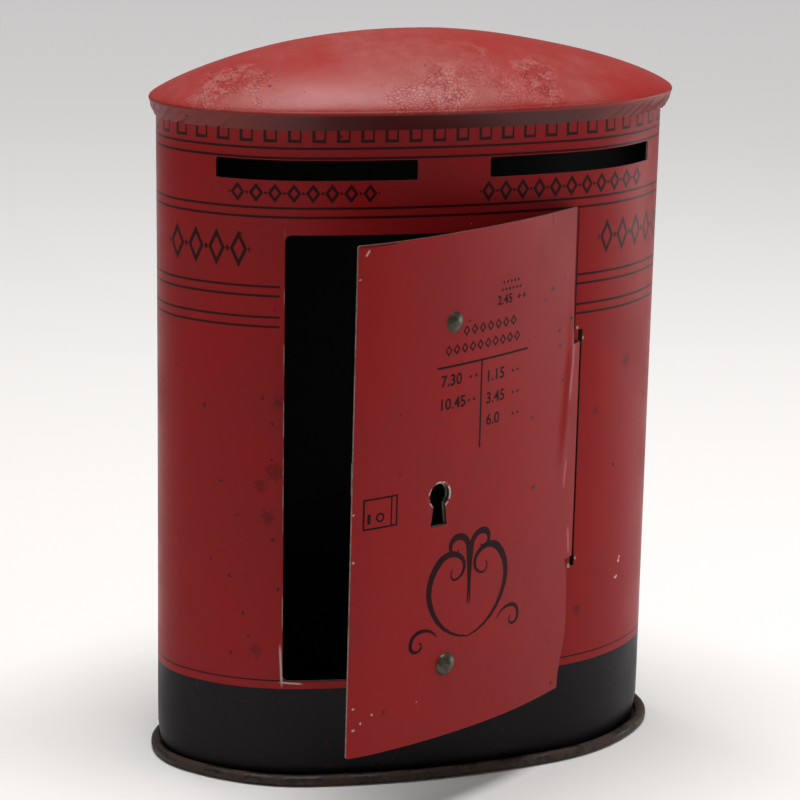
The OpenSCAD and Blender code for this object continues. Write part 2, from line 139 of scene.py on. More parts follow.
END_STEPS, SHOULDER_STEPS, FRONT_STEPS = 44, 30, 46
ARCS = [
    arc(end_c, 0, END_R, -END_TURN, 2 * END_TURN, END_STEPS),
    arc(shoulder_c.x, shoulder_c.y, shoulder_r, END_TURN, join - END_TURN, SHOULDER_STEPS),
    arc(0, front_c, front_r, join, 2 * FRONT_TURN, FRONT_STEPS),
    arc(-shoulder_c.x, shoulder_c.y, shoulder_r, 180 - join, join - END_TURN, SHOULDER_STEPS),
    arc(-end_c, 0, END_R, 180 - END_TURN, 2 * END_TURN, END_STEPS),
    arc(-shoulder_c.x, -shoulder_c.y, shoulder_r, 180 + END_TURN, join - END_TURN, SHOULDER_STEPS),
    arc(0, -front_c, front_r, 180 + join, 2 * FRONT_TURN, FRONT_STEPS),
    arc(shoulder_c.x, -shoulder_c.y, shoulder_r, 360 - join, join - END_TURN, SHOULDER_STEPS),
]


def wall_point(angle, out=0.0, z=0.0):
    """The place on the wall that faces this way, moved outward by out, in millimetres."""
    own = next(a for a in ARCS if a["first"] <= angle <= a["first"] + a["span"])
    return own["centre"] + (own["radius"] + out) * unit(angle) + Vector((0, 0, z))


def facing(x):
    """The direction in which the front faces at a distance x from its middle."""
    if abs(x) <= front_r * sine(FRONT_TURN):
        return FRONT + math.degrees(math.asin(x / front_r))
    return FRONT + math.copysign(90 - math.degrees(math.acos((abs(x) - shoulder_c.x) / shoulder_r)), x)


print("shoulder radius", round(shoulder_r, 2), "front radius", round(front_r, 2))

# %% [markdown]
# A sheet that follows the oval is made as on a spinning lathe with eight centres: its section is drawn as a
# line, and the line is spun about each arc's centre in turn. Blender's spin turns clockwise seen from above,
# so the angle is given a minus sign. The line itself starts as a plane merged to one vertex, which is then
# extruded from point to point.

# %% Helpers for modelling
WELD = 0.002 * MM


def leave_edit():
    if bpy.context.object and bpy.context.object.mode != "OBJECT":
        bpy.ops.object.mode_set(mode="OBJECT")
    bpy.ops.object.select_all(action="DESELECT")


def edit(piece, everything=True):
    leave_edit()
    piece.select_set(True)
    bpy.context.view_layer.objects.active = piece
    bpy.ops.object.mode_set(mode="EDIT")
    bpy.ops.mesh.select_mode(type="VERT")
    bpy.ops.mesh.select_all(action="SELECT" if everything else "DESELECT")


def pick(piece, test, kind="verts"):
    """In edit mode, selects each part of a kind whose list of points, in millimetres, passes the test."""
    bpy.ops.mesh.select_mode(type={"verts": "VERT", "edges": "EDGE", "faces": "FACE"}[kind])
    bpy.ops.mesh.select_all(action="DESELECT")
    mesh = bmesh.from_edit_mesh(piece.data)
    chosen = 0
    for part in getattr(mesh, kind):
        points = [part.co / MM] if kind == "verts" else [v.co / MM for v in part.verts]
        if test(points):
            part.select_set(True)
            chosen += 1
    mesh.select_flush_mode()
    bmesh.update_edit_mesh(piece.data)
    return chosen


def settled():
    """The piece just made, with its place, turn and size put into its mesh."""
    bpy.ops.object.transform_apply(location=True, rotation=True, scale=True)
    return bpy.context.object


def draw_line(name, points):
    """A new piece, in edit mode: a line through the points, all of it selected."""
    leave_edit()
    bpy.ops.mesh.primitive_plane_add(size=MM)
    piece = bpy.context.object
    piece.name = name
    piece.data.name = name
    bpy.ops.object.mode_set(mode="EDIT")
    bpy.ops.mesh.select_mode(type="VERT")
    bpy.ops.mesh.merge(type="CENTER")
    bpy.ops.transform.translate(value=points[0] * MM)
    for start, end in zip(points, points[1:]):
        bpy.ops.mesh.extrude_region_move(TRANSFORM_OT_translate={"value": (end - start) * MM})
    bpy.ops.mesh.select_all(action="SELECT")
    return piece


def spin(centre, angle, steps, axis=(0, 0, 1)):
    """Turns the selected line about a centre, and draws a sheet. A positive angle is anticlockwise."""
    bpy.ops.mesh.spin(steps=steps, angle=-math.radians(angle), center=centre * MM, axis=axis)


def weld():
    bpy.ops.mesh.select_all(action="SELECT")
    bpy.ops.mesh.remove_doubles(threshold=WELD)
    bpy.ops.mesh.normals_make_consistent(inside=False)


def sweep_round(name, section):
    """A piece whose section, a list of (distance outward, height), runs all round the oval."""
    piece = draw_line(name, [wall_point(-END_TURN, out, z) for out, z in section])
    for own in ARCS:
        spin(own["centre"], own["span"], own["steps"])
    weld()
    return piece


def apply(piece, kind, **settings):
    """Adds a modifier with these settings and applies it."""
    leave_edit()
    piece.select_set(True)
    bpy.context.view_layer.objects.active = piece
    modifier = piece.modifiers.new(kind.title(), kind)
    for name, value in settings.items():
        setattr(modifier, name, value)
    bpy.ops.object.modifier_apply(modifier=modifier.name)


def combine(piece, how, other):
    """Cuts a piece by another, which is used up. The cut takes the other's finish."""
    apply(piece, "BOOLEAN", operation=how, solver="EXACT", object=other, material_mode="TRANSFER")
    bpy.data.objects.remove(other)


def carve(piece, *cutters):
    """Cuts each of the cutters out of a piece."""
    for cutter in cutters:
        combine(piece, "DIFFERENCE", cutter)


SHARP = 35


def finish_piece(piece, body, nodes):
    """Smooths a finished piece, lets it ride its body and stand for its nodes."""
    leave_edit()
    piece.select_set(True)
    bpy.context.view_layer.objects.active = piece
    bpy.ops.object.shade_smooth_by_angle(angle=math.radians(SHARP))
    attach(piece, body)
    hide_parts(*nodes)
    low = [min(v.co[i] for v in piece.data.vertices) for i in range(3)]
    high = [max(v.co[i] for v in piece.data.vertices) for i in range(3)]
    size = [round((b - a) / MM, 2) for a, b in zip(low, high)]
    print(piece.name, len(piece.data.polygons), "faces,", size, "mm")


# %% [markdown]
# Printing and wear follow the sheet, not the room, so the wall and the door carry a map of their own: across
# is the distance along the sheet, and up is the height. One unit of the map is 100 mm.

# %% Maps that follow the sheet
MAP_UNIT = 100.0
for own in ARCS:
    before = ARCS[:ARCS.index(own)]
    own["start"] = sum(math.radians(a["span"]) * a["radius"] for a in before)
perimeter = sum(math.radians(a["span"]) * a["radius"] for a in ARCS)


def run_to(angle):
    """Distance along the wall from the first arc's start to the place that faces this way."""
    own = next(a for a in ARCS if a["first"] <= angle <= a["first"] + a["span"])
    return own["start"] + math.radians(angle - own["first"]) * own["radius"]


front_run = run_to(FRONT)


def along_wall(point):
    """Distance along the wall from the middle of the front to a point near the wall, in millimetres."""
    best = None
    for own in ARCS:
        spoke = Vector((point.x, point.y, 0)) - own["centre"]
        angle = math.degrees(math.atan2(spoke.y, spoke.x))
        angle = own["first"] + (angle - own["first"] + 0.5) % 360 - 0.5
        if angle <= own["first"] + own["span"] + 0.5:
            miss = abs(spoke.length - own["radius"])
            if best is None or miss < best[0]:
                best = (miss, own["start"] + math.radians(angle - own["first"]) * own["radius"])
    return (best[1] - front_run + perimeter / 2) % perimeter - perimeter / 2


def map_sheet(piece, across):
    """Writes the map of a piece: across(point) and the height, both over MAP_UNIT."""
    while piece.data.uv_layers:
        piece.data.uv_layers.remove(piece.data.uv_layers[0])
    layer = piece.data.uv_layers.new(name="sheet")
    place = [(across(v.co / MM), v.co.z / MM) for v in piece.data.vertices]
    for face in piece.data.polygons:
        middle = across(face.center / MM)
        for corner in face.loop_indices:
            u, v = place[piece.data.loops[corner].vertex_index]
            if abs(u - middle) > perimeter / 2:
                u += math.copysign(perimeter, middle)
            layer.data[corner].uv = (u / MAP_UNIT, v / MAP_UNIT)


print("perimeter", round(perimeter, 1), "mm")

# %% [markdown]
# Every finish is worked out by nodes from a place on the piece. A few short helpers keep the node trees
# readable: one adds a node, some do arithmetic with numbers or places, one fades between two values, and one
# blends two colours.

# %% Helpers for shaders


def srgb(red, green, blue):
    """A colour as on a paint chart, each part from 0 to 255, as the linear values that shaders take."""
    parts = [part / 255 for part in (red, green, blue)]
    return tuple(p / 12.92 if p <= 0.04045 else ((p + 0.055) / 1.055) ** 2.4 for p in parts) + (1.0,)


def feed(tree, socket, value):
    if isinstance(value, bpy.types.NodeSocket):
        tree.links.new(value, socket)
    else:
        socket.default_value = value


def feed_all(tree, target, inputs):
    for name, value in inputs.items():
        feed(tree, target.inputs[name], value)


def node(tree, kind, inputs=None, **settings):
    made = tree.nodes.new("ShaderNode" + kind)
    for name, value in settings.items():
        setattr(made, name, value)
    feed_all(tree, made, inputs or {})
    return made


def calc(tree, operation, *values):
    return node(tree, "Math", dict(enumerate(values)), operation=operation).outputs[0]


def times(tree, first, second):
    return calc(tree, "MULTIPLY", first, second)


def minus(tree, first, second):
    return calc(tree, "SUBTRACT", first, second)


def ramp(tree, value, factor, base):
    """The value times the factor, plus the base."""
    return calc(tree, "MULTIPLY_ADD", value, factor, base)


def vector(tree, operation, first, second):
    return node(tree, "VectorMath", {0: first, 1: second}, operation=operation).outputs[0]


def scale(tree, place, factor):
    return node(tree, "VectorMath", {"Vector": place, "Scale": factor}, operation="SCALE").outputs[0]


def measure(tree, operation, first, second=(0, 0, 0)):
    """A number worked out from two places or directions."""
    return node(tree, "VectorMath", {0: first, 1: second}, operation=operation).outputs["Value"]


def noise(tree, place, size, detail=2.0, roughness=0.5, output=0):
    inputs = {"Vector": place, "Scale": size, "Detail": detail, "Roughness": roughness}
    return node(tree, "TexNoise", inputs).outputs[output]


def fade(tree, value, start, end):
    """0 up to start and 1 from end on, with a smooth change between."""
    inputs = {"Value": value, "From Min": start, "From Max": end}
    return node(tree, "MapRange", inputs, interpolation_type="SMOOTHSTEP").outputs["Result"]


def blend(tree, share, first, second):
    """The first colour where share is 0 and the second where it is 1."""
    return node(tree, "Mix", {0: share, 6: first, 7: second}, data_type="RGBA").outputs[2]


def new_group(name, inputs, outputs):
    """An empty node group: inputs with a number are values, and those with None are places."""
    group = bpy.data.node_groups.new(name, "ShaderNodeTree")
    for label, value in inputs.items():
        kind = "NodeSocketVector" if value is None else "NodeSocketFloat"
        socket = group.interface.new_socket(label, in_out="INPUT", socket_type=kind)
        if value is not None:
            socket.default_value = value
    for label in outputs:
        group.interface.new_socket(label, in_out="OUTPUT", socket_type="NodeSocketFloat")
    return group, group.nodes.new("NodeGroupInput").outputs, group.nodes.new("NodeGroupOutput").inputs


def use(tree, group, **inputs):
    """Places a group in a material with its own values."""
    made = tree.nodes.new("ShaderNodeGroup")
    made.node_tree = group
    feed_all(tree, made, inputs)
    return made.outputs


# %% [markdown]
# Old tinplate carries small separate marks: rust pits, chips down to the tin, hairline scratches, dust. One
# group makes the pits, the chips and the scratches. It drops one mark at most into each cell of a Voronoi
# pattern, at a random size, and bends the pattern a little so that no mark is a neat disc. A stretched place
# gives scratches.

# %% Flecks
flecks, given, put = new_group(
    "Flecks",
    {"Place": None, "Spacing": 6.0, "Size": 0.2, "Share": 0.5, "Ragged": 0.12, "Seed": 0.0},
    ["Mask"],
)
tree = flecks
per_cell = calc(tree, "DIVIDE", 1 / MM, given["Spacing"])
shift = node(tree, "CombineXYZ", {axis: given["Seed"] for axis in "XYZ"}).outputs[0]
moved = vector(tree, "ADD", scale(tree, given["Place"], per_cell), shift)
centred = vector(tree, "SUBTRACT", noise(tree, moved, 7.0, output="Color"), (0.5, 0.5, 0.5))
bent = vector(tree, "ADD", moved, scale(tree, centred, given["Ragged"]))
cells = node(tree, "TexVoronoi", {"Vector": bent, "Scale": 1.0})
chance = node(tree, "SeparateColor", {"Color": cells.outputs["Color"]}).outputs
present = calc(tree, "LESS_THAN", chance["Green"], given["Share"])
reach = times(tree, given["Size"], calc(tree, "POWER", chance["Red"], 1.6))
inside = minus(tree, times(tree, reach, present), cells.outputs["Distance"])
feed(tree, put["Mask"], fade(tree, inside, 0.0, times(tree, given["Size"], 0.3)))
print("group", flecks.name, [socket.name for socket in flecks.interface.items_tree])

# %% [markdown]
# Paint on thin tin is never even. This group gives a broad cloud of fading, a fine grain, and the low swell
# of a sheet that hands have pressed for years. The swell is a height, and feeds the bump.

# %% Mottle
mottle_inputs = {"Place": None, "Patch": 22.0, "Seed": 0.0}
mottle, given, put = new_group("Mottle", mottle_inputs, ["Cloud", "Grain", "Swell"])
tree = mottle
shift = node(tree, "CombineXYZ", {axis: given["Seed"] for axis in "XZ"}).outputs[0]
seeded = vector(tree, "ADD", given["Place"], shift)
broad = calc(tree, "DIVIDE", 1 / MM, given["Patch"])
feed(tree, put["Cloud"], fade(tree, noise(tree, seeded, broad, 4.0, 0.6), 0.35, 0.68))
feed(tree, put["Grain"], noise(tree, seeded, 900.0, 5.0, 0.7))
feed(tree, put["Swell"], noise(tree, seeded, times(tree, broad, 1.3), 1.0))

# %% [markdown]
# The litho red is a hard, thin lacquer over tin. All red sheets share one recipe: red that has faded in
# clouds, the printed ink, rust pits, chips that show tin, and hairline scratches. Each sheet gives its own
# colours and its own share of wear, and the ink is a list of masks with their colours.

# %% Enamel
INK = srgb(34, 3, 7)
FOOT_BLACK = srgb(18, 14, 19)
WHITE_SPECK = srgb(240, 198, 190)
# Pale pink for the painted highlight along the door's crease
CREASE_HIGHLIGHT_PINK = srgb(214, 132, 130)
PIT_BROWN = srgb(52, 26, 20)
CHIP_GREY = srgb(190, 172, 160)
# Dark red for smudges on the wall, and for grime with painted shade on the lid's skirt
GRIME_AND_SHADE_RED = srgb(62, 14, 14)
# Pale pink for the painted highlight in the lid's crazed zones
PAINTED_HIGHLIGHT_PINK = srgb(208, 150, 142)
SCRATCH_TURN, SCRATCH_STRETCH = (0.3, 0.5, 0.2), (1, 1, 0.07)
# Where the skirt's painted shade reaches: its height, and how far from the middle it is none and full
GRIME_AND_SHADE_HIGH = 0.9
MIDDLE_SHADE_NONE_AT, MIDDLE_SHADE_ALL_AT = 0.052, 0.022


def new_finish(name):
    material = bpy.data.materials.new(name)
    material.use_nodes = True
    tree = material.node_tree
    return material, tree, tree.nodes["Principled BSDF"], node(tree, "TexCoord").outputs


def bump(tree, height, depth=0.05):
    """A normal from a height of 0 to 1 that stands for depth, in millimetres."""
    return node(tree, "Bump", {"Height": height, "Distance": depth * MM, "Strength": 1.0}).outputs[0]


def any_of(tree, masks):
    total = masks[0]
    for mask in masks[1:]:
        total = calc(tree, "MAXIMUM", total, mask)
    return total


def marks_of(tree, place, **settings):
    return use(tree, flecks, Place=place, **settings)["Mask"]


def crazed_and_highlight_zone(tree, spot, age, zones):
    """1 inside ragged round zones of cracked lacquer that also hold a painted highlight, each a (middle,
    reach) in millimetres.
    """
    near = [times(tree, age["Cloud"], 0.2)]
    for middle, reach in zones:
        away = measure(tree, "DISTANCE", spot, Vector(middle) * MM)
        away = ramp(tree, age["Cloud"], 0.012, ramp(tree, age["Grain"], 0.008, away))
        near.append(fade(tree, away, (reach + 8) * MM, (reach * 0.3 + 8) * MM))
    return any_of(tree, near)


def enamel(name, red, faded, ink=None, pits=0.3, pit_size=0.11, chips=0.06, gloss=0.34, shine=0.14,
           highlit_crazing=(), grime_and_shade_top=None, seed=0.0):
    """Red lacquer. It may have crazed zones that hold a painted highlight, and grime with painted shade on the
    skirt, up to a height in millimetres.
    """
    material, tree, shader, place = new_finish(name)
    spot = place["Object"]
    age = use(tree, mottle, Place=spot, Seed=seed)
    colour = blend(tree, age["Cloud"], red, faded)
    deep = tuple(c * 0.72 for c in faded[:3]) + (1,)
    colour = blend(tree, fade(tree, age["Grain"], 0.55, 0.8), colour, deep)
    for mask, tint in (ink(tree, place) if ink else []):
        worn = times(tree, mask, fade(tree, age["Grain"], 0.2, 0.38))
        colour = blend(tree, worn, colour, tint)
    pit = calc(tree, "MAXIMUM",
               marks_of(tree, spot, Spacing=3.2, Size=pit_size, Share=pits, Seed=seed + 2),
               marks_of(tree, spot, Spacing=14.0, Size=pit_size * 0.6, Share=pits, Seed=seed + 7))
    chip = marks_of(tree, spot, Spacing=9.0, Size=0.07, Share=chips, Ragged=0.2, Seed=seed + 4)
    drawn = node(tree, "Mapping", {"Vector": spot, "Rotation": SCRATCH_TURN, "Scale": SCRATCH_STRETCH})
    scratch = marks_of(tree, drawn.outputs[0], Spacing=5.0, Size=0.03, Share=0.12, Ragged=0.01, Seed=seed)
    colour = blend(tree, times(tree, scratch, 0.35), colour, CHIP_GREY)
    colour = blend(tree, times(tree, pit, 0.85), colour, PIT_BROWN)
    colour = blend(tree, chip, colour, CHIP_GREY)
    above, crackle = 1.0, 0.0
    if grime_and_shade_top:
        # Painted shade: below the lid's edge the skirt is darkened, partly grime and partly the shade under
        # the edge, and darkest at the middle of the front and back
        sides = node(tree, "SeparateXYZ", {"Vector": spot}).outputs
        below = fade(tree, calc(tree, "DIVIDE", sides["Z"], MM), grime_and_shade_top, grime_and_shade_top - GRIME_AND_SHADE_HIGH)
        above = minus(tree, 1.0, below)
        middle = fade(tree, calc(tree, "ABSOLUTE", sides["X"]), MIDDLE_SHADE_NONE_AT, MIDDLE_SHADE_ALL_AT)
        colour = blend(tree, times(tree, below, ramp(tree, middle, 0.5, 0.42)), colour, GRIME_AND_SHADE_RED)
    if highlit_crazing:
        zone = times(tree, crazed_and_highlight_zone(tree, spot, age, highlit_crazing), above)
        # Painted highlight: pale pink blotches in the zones stand in for the sheen of the lamps on the dome
        painted_highlight = times(tree, zone, fade(tree, noise(tree, spot, 300.0, 4.0, 0.7), 0.42, 0.62))
        colour = blend(tree, times(tree, painted_highlight, 0.26), colour, PAINTED_HIGHLIGHT_PINK)
        crack = node(tree, "TexVoronoi", {"Vector": spot, "Scale": 1100.0}, feature="DISTANCE_TO_EDGE")
        crackle = times(tree, fade(tree, crack.outputs[0], 0.12, 0.02), zone)
        flake = fade(tree, noise(tree, spot, 700.0), 0.54, 0.62)
        colour = blend(tree, times(tree, times(tree, crackle, flake), 0.7), colour, PIT_BROWN)
    dull = ramp(tree, age["Cloud"], 0.12, gloss)
    dull = ramp(tree, age["Grain"], 0.1, dull)
    height = ramp(tree, age["Swell"], 4.0, times(tree, age["Grain"], 0.08))
    height = minus(tree, height, times(tree, pit, 0.5))
    height = minus(tree, height, times(tree, crackle, 1.5))
    feed_all(tree, shader, {
        "Base Color": colour,
        "Roughness": ramp(tree, pit, 0.4, dull),
        "Specular IOR Level": shine,
        "Normal": bump(tree, height),
    })
    return material


# %% [markdown]
# The wall is printed before it is rolled. All of its printing is lines and small squares, so it is worked out
# from the sheet's own map: pairs of lines round the box, a row of dentils under the lid, and a black foot.
# The lower pairs stop at the door's opening. Words on such boxes name an office, so their places hold a plain
# row of lozenges instead.

# %% Sizes of the sheet work
high_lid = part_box("lid")[1]
low_door, high_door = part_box("door_panel")
SHEET = 0.35
GAP = 0.08
DOME_RISE = 13.2
edge_z = high_lid.z / MM - DOME_RISE
OPENING_LEFT, OPENING_Z, OPENING_H, OPENING_R = 33.4, 23.4, 97.2, 1.3
SLOT_NEAR, SLOT_FAR, SLOT_SHIFT, SLOT_Z, SLOT_H, SLOT_R = 7.8, 47.4, 1.2, 131.8, 4.2, 0.45
HINGE_X, EDGE_BACK, EDGE_LAP = 30.0, 2.9, 0.6
LAP_SIDE, DOOR_R = 1.0, 0.5
hinge_a = facing(HINGE_X)
hinge_p = wall_point(hinge_a, -SHEET / 2)
DOOR_OPEN = 27.6
door_z0, door_z1 = low_door.z / MM, high_door.z / MM
DOOR_OUT = 0.87
TONGUE_H = 48.0
tongue_z = (door_z0 + door_z1 - TONGUE_H) / 2
KEY_D, KEY_DX = 5.2, 2.8
lock_x = -10.6
key_z = (door_z0 + door_z1) / 2 - 0.4
LINE_W = 0.5
LINE_PAIRS_ROUND = [(124.0, 125.9), (136.2, 138.2)]
LINE_PAIRS_SIDES = [(101.0, 103.0), (107.5, 109.45)]
RULE_FOOT, RULE_TOP, RULE_X, RULE_W = 97.5, 124.0, 29.5, 0.35
BAND_TOP, BAND_LINE = 21.55, 23.2
LOZENGE_ROWS = [(-45.6, -14.5, 127.2, 131.2, 8, 0.52), (6.8, 48.9, 126.7, 131.2, 11, 0.52),
                (-60.5, -41.0, 113.4, 121.2, 4, 0.42), (35.2, 59.6, 113.5, 121.0, 5, 0.42)]
DENTILS = 54
DENTIL_FOOT = 139.6
DENTIL_AT = 1.34


def run_at(x):
    """Distance along the wall from the middle of the front to a place at x on the front."""
    return run_to(facing(x)) - front_run


# %% Ink on the wall


def stripe(tree, value, low, high, soft=0.06):
    """1 where the value is between low and high."""
    return times(tree, fade(tree, value, low - soft, low + soft), fade(tree, value, high + soft, high - soft))


def lozenges(tree, along, up, start, end, foot, top, count, bold):
    """A row of outlined lozenges with a dot between each two, from start to end along the sheet."""
    pitch = (end - start) / count
    step = calc(tree, "FRACT", calc(tree, "DIVIDE", minus(tree, along, start), pitch))
    across = calc(tree, "ABSOLUTE", ramp(tree, step, 2.0, -1.0))
    high = calc(tree, "ABSOLUTE", calc(tree, "DIVIDE", minus(tree, up, (foot + top) / 2), (top - foot) / 2))
    reach = calc(tree, "ADD", calc(tree, "DIVIDE", across, 0.78), high)
    ring = stripe(tree, reach, 1.0 - bold, 1.0, 0.03)
    dot = fade(tree, calc(tree, "ADD", times(tree, minus(tree, 1.0, across), 4.0),
                          times(tree, high, 4.0)), 0.85, 0.75)
    return times(tree, any_of(tree, [ring, dot]), stripe(tree, along, start, end))


def on_sheet(tree, place):
    """The place on the sheet's own map, in millimetres."""
    return scale(tree, place["UV"], MAP_UNIT)


def spots(tree, sheet, marks, strength=0.9):
    """1 inside rough round marks, each an (across, up, radius) in millimetres."""
    rough = noise(tree, sheet, 1.6, 3.0)
    masks = []
    for across, up, radius in marks:
        away = measure(tree, "DISTANCE", sheet, (across, up, 0))
        away = calc(tree, "ADD", away, ramp(tree, rough, 3.0 * radius, -1.5 * radius))
        masks.append(fade(tree, away, radius, radius * 0.4))
    return times(tree, any_of(tree, masks), strength)


def streak(tree, sheet, start, end, width, strength=0.9):
    """1 on a soft line between two places on the sheet."""
    start, end = Vector((*start, 0)), Vector((*end, 0))
    ahead = (end - start).normalized()
    from_start = vector(tree, "SUBTRACT", sheet, start)
    along = measure(tree, "DOT_PRODUCT", from_start, ahead)
    aside = measure(tree, "DOT_PRODUCT", from_start, Vector((-ahead.y, ahead.x, 0)))
    length = (end - start).length
    mask = times(tree, fade(tree, calc(tree, "ABSOLUTE", aside), width / 2, width * 0.1),
                stripe(tree, along, 0, length, length * 0.15))
    return times(tree, mask, strength)


WALL_SMUDGES = [(-35.5, 70, 2.4), (-38.5, 67, 1.6), (45.9, 88.5, 1.8), (33.2, 34, 1.4), (-37, 60, 1.8),
                (-39.5, 30, 1.8), (36.5, 79, 1.2), (55.4, 78.4, 0.9), (-35, 85, 1.5)]
WALL_RUST = [(-45.3, 46.3, 0.5), (-49.6, 49.5, 0.4), (-47.2, 67.2, 0.4), (-42.4, 38.3, 0.5),
             (-51.2, 83.1, 0.6), (-38.2, 85.9, 0.5), (-43.5, 60, 0.4), (-36, 55, 0.5),
             (-34.8, 44, 0.5), (-41, 33, 0.5), (-45, 29, 0.5), (33.6, 34.4, 0.5)]
WALL_WHITE = [(46.2, 43.4, 0.5), (46.0, 42.5, 0.4), (44.9, 38.9, 0.4), (45.4, 39.1, 0.3)]
DENTIL_HIGH, DENTIL_START, DENTIL_END = 6, 1.0, 3.8


def wall_ink(tree, place):
    sheet = on_sheet(tree, place)
    sheet_map = node(tree, "SeparateXYZ", {"Vector": place["UV"]}).outputs
    along = times(tree, sheet_map["X"], MAP_UNIT)
    up = times(tree, sheet_map["Y"], MAP_UNIT)
    rings = [stripe(tree, up, z, z + LINE_W) for pair in LINE_PAIRS_ROUND for z in pair]
    sides = [stripe(tree, up, z, z + LINE_W) for pair in LINE_PAIRS_SIDES for z in pair]
    beside = stripe(tree, along, run_at(-OPENING_LEFT) - 1, run_at(RULE_X))
    outside = minus(tree, 1.0, beside)
    sides = times(tree, any_of(tree, sides), outside)
    rule = times(tree, stripe(tree, along, run_at(RULE_X), run_at(RULE_X) + RULE_W),
                stripe(tree, up, RULE_FOOT, RULE_TOP))
    pitch = perimeter / DENTILS
    from_first = calc(tree, "DIVIDE", minus(tree, along, DENTIL_AT - DENTIL_START), pitch)
    step = times(tree, calc(tree, "FRACT", from_first), pitch)
    tall = stripe(tree, up, DENTIL_FOOT, DENTIL_FOOT + DENTIL_HIGH)
    cheeks = any_of(tree, [
        stripe(tree, step, DENTIL_START, DENTIL_START + 0.65),
        stripe(tree, step, DENTIL_END - 0.4, DENTIL_END),
    ])
    dentils = any_of(tree, [
        times(tree, cheeks, tall),
        times(tree, stripe(tree, step, DENTIL_START, DENTIL_END),
              stripe(tree, up, DENTIL_FOOT, DENTIL_FOOT + 0.65)),
    ])
    rows = [lozenges(tree, along, up, *row) for row in LOZENGE_ROWS]
    thin = any_of(tree, rings + rows + [sides, rule, dentils, stripe(tree, up, BAND_LINE, BAND_LINE + 0.35)])
    foot = fade(tree, up, BAND_TOP + 0.05, BAND_TOP - 0.05)
    left, hinge = run_at(-OPENING_LEFT), run_at(HINGE_X)
    notch = tongue_z + TONGUE_H
    bare = any_of(tree, [
        times(tree, streak(tree, sheet, (left, 28), (left, 116), 0.4, 0.6),
              fade(tree, noise(tree, sheet, 0.16), 0.5, 0.65)),
        streak(tree, sheet, (left - 0.5, 31), (left - 0.1, 22.6), 0.7),
        streak(tree, sheet, (left - 0.3, 23.0), (left + 4, 22.7), 0.6),
        spots(tree, sheet, [(hinge + 1.8, notch + 0.6, 0.5), (hinge + 0.4, notch + 2.9, 0.45),
                            (hinge + 0.5, tongue_z - 2.4, 0.6), (hinge + 2.0, tongue_z - 0.8, 0.4)]),
    ])
    return [
        (spots(tree, sheet, WALL_SMUDGES, 0.5), GRIME_AND_SHADE_RED),
        (times(tree, thin, 0.95), INK),
        (foot, FOOT_BLACK),
        (spots(tree, sheet, WALL_RUST), PIT_BROWN),
        (bare, CHIP_GREY),
        (spots(tree, sheet, WALL_WHITE), WHITE_SPECK),
    ]


DOOR_RUST = [(19.3, 108.6, 0.7), (16.7, 106.7, 0.4), (22.4, 99.3, 0.7), (22.6, 96, 0.6), (14.7, 66.6, 0.7),
             (22.2, 29.5, 0.45), (24, 88, 0.6), (13.5, 82, 0.6), (-26.4, 26.1, 0.5), (26.5, 101, 0.6)]
DOOR_CHIPS = [(-29, 26.2, 0.35), (-33.2, 28.2, 0.35), (-33, 23.5, 0.4), (-31.5, 24.8, 0.3),
              (-18, 26.6, 0.3), (-33.9, 118, 0.3), (-34.1, 70, 0.3), (-33.9, 60, 0.3)]


def door_wear(tree, place):
    """Marks on the door, at their places on the shut door: dark spots, a painted highlight along the crease,
    and bare tin.
    """
    sheet = on_sheet(tree, place)
    # Painted highlight: pale pink streaks along the crease beside the tongue stand in for light caught by the
    # bent sheet
    crease_highlight = any_of(tree, [
        streak(tree, sheet, (28.2, 98), (26.6, 84), 2.0, 0.45),
        streak(tree, sheet, (26.6, 70), (26.0, 64), 1.2, 0.3),
        streak(tree, sheet, (28.3, 54), (28.9, 48.5), 1.2, 0.4),
    ])
    dark = any_of(tree, [
        spots(tree, sheet, DOOR_RUST),
        streak(tree, sheet, (18.4, 125), (18.8, 122.4), 0.5),
        streak(tree, sheet, (-34.2, door_z1 - 0.4), (-26, door_z1 - 0.3), 0.6),
    ])
    keyhole = measure(tree, "DISTANCE", sheet, (lock_x - KEY_DX, key_z, 0))
    rough = noise(tree, sheet, 0.9)
    bare = any_of(tree, [
        times(tree, fade(tree, keyhole, KEY_D / 2 + 0.45, KEY_D / 2 + 0.3), fade(tree, rough, 0.42, 0.55)),
        streak(tree, sheet, (-32.8, door_z1 - 2.2), (-32.1, door_z1 - 1.1), 0.6),
        spots(tree, sheet, DOOR_CHIPS),
    ])
    return [(crease_highlight, CREASE_HIGHLIGHT_PINK), (dark, PIT_BROWN), (bare, CHIP_GREY)]


# %% Finishes of the red sheets
# Zones of cracked lacquer on the lid, placed where the lamps' highlight falls on the dome, which also hold a
# painted highlight
LID_CRAZED_AND_HIGHLIGHT = [((0, -22, 153), 17), ((-42, -15, 149), 11), ((22, -19, 152), 8)]
wall_red = enamel("wall_red", srgb(150, 20, 23), srgb(142, 28, 29), wall_ink,
                  pits=0.25, pit_size=0.13, gloss=0.3)
# The lid has a painted highlight in its crazed zones and painted shade on its skirt
lid_red = enamel("lid_red", srgb(148, 34, 30), srgb(146, 52, 46), pits=0.6, pit_size=0.13, chips=0.14,
                 gloss=0.32, shine=0.3, highlit_crazing=LID_CRAZED_AND_HIGHLIGHT, grime_and_shade_top=edge_z, seed=3.0)
door_red = enamel("door_red", srgb(149, 20, 24), srgb(141, 28, 29), door_wear,
                  pits=0.2, pit_size=0.12, gloss=0.3, seed=5.0)
print_ink = enamel("print_ink", srgb(32, 6, 12), srgb(50, 12, 18), pits=0.2, gloss=0.4, shine=0.08, seed=5.0)

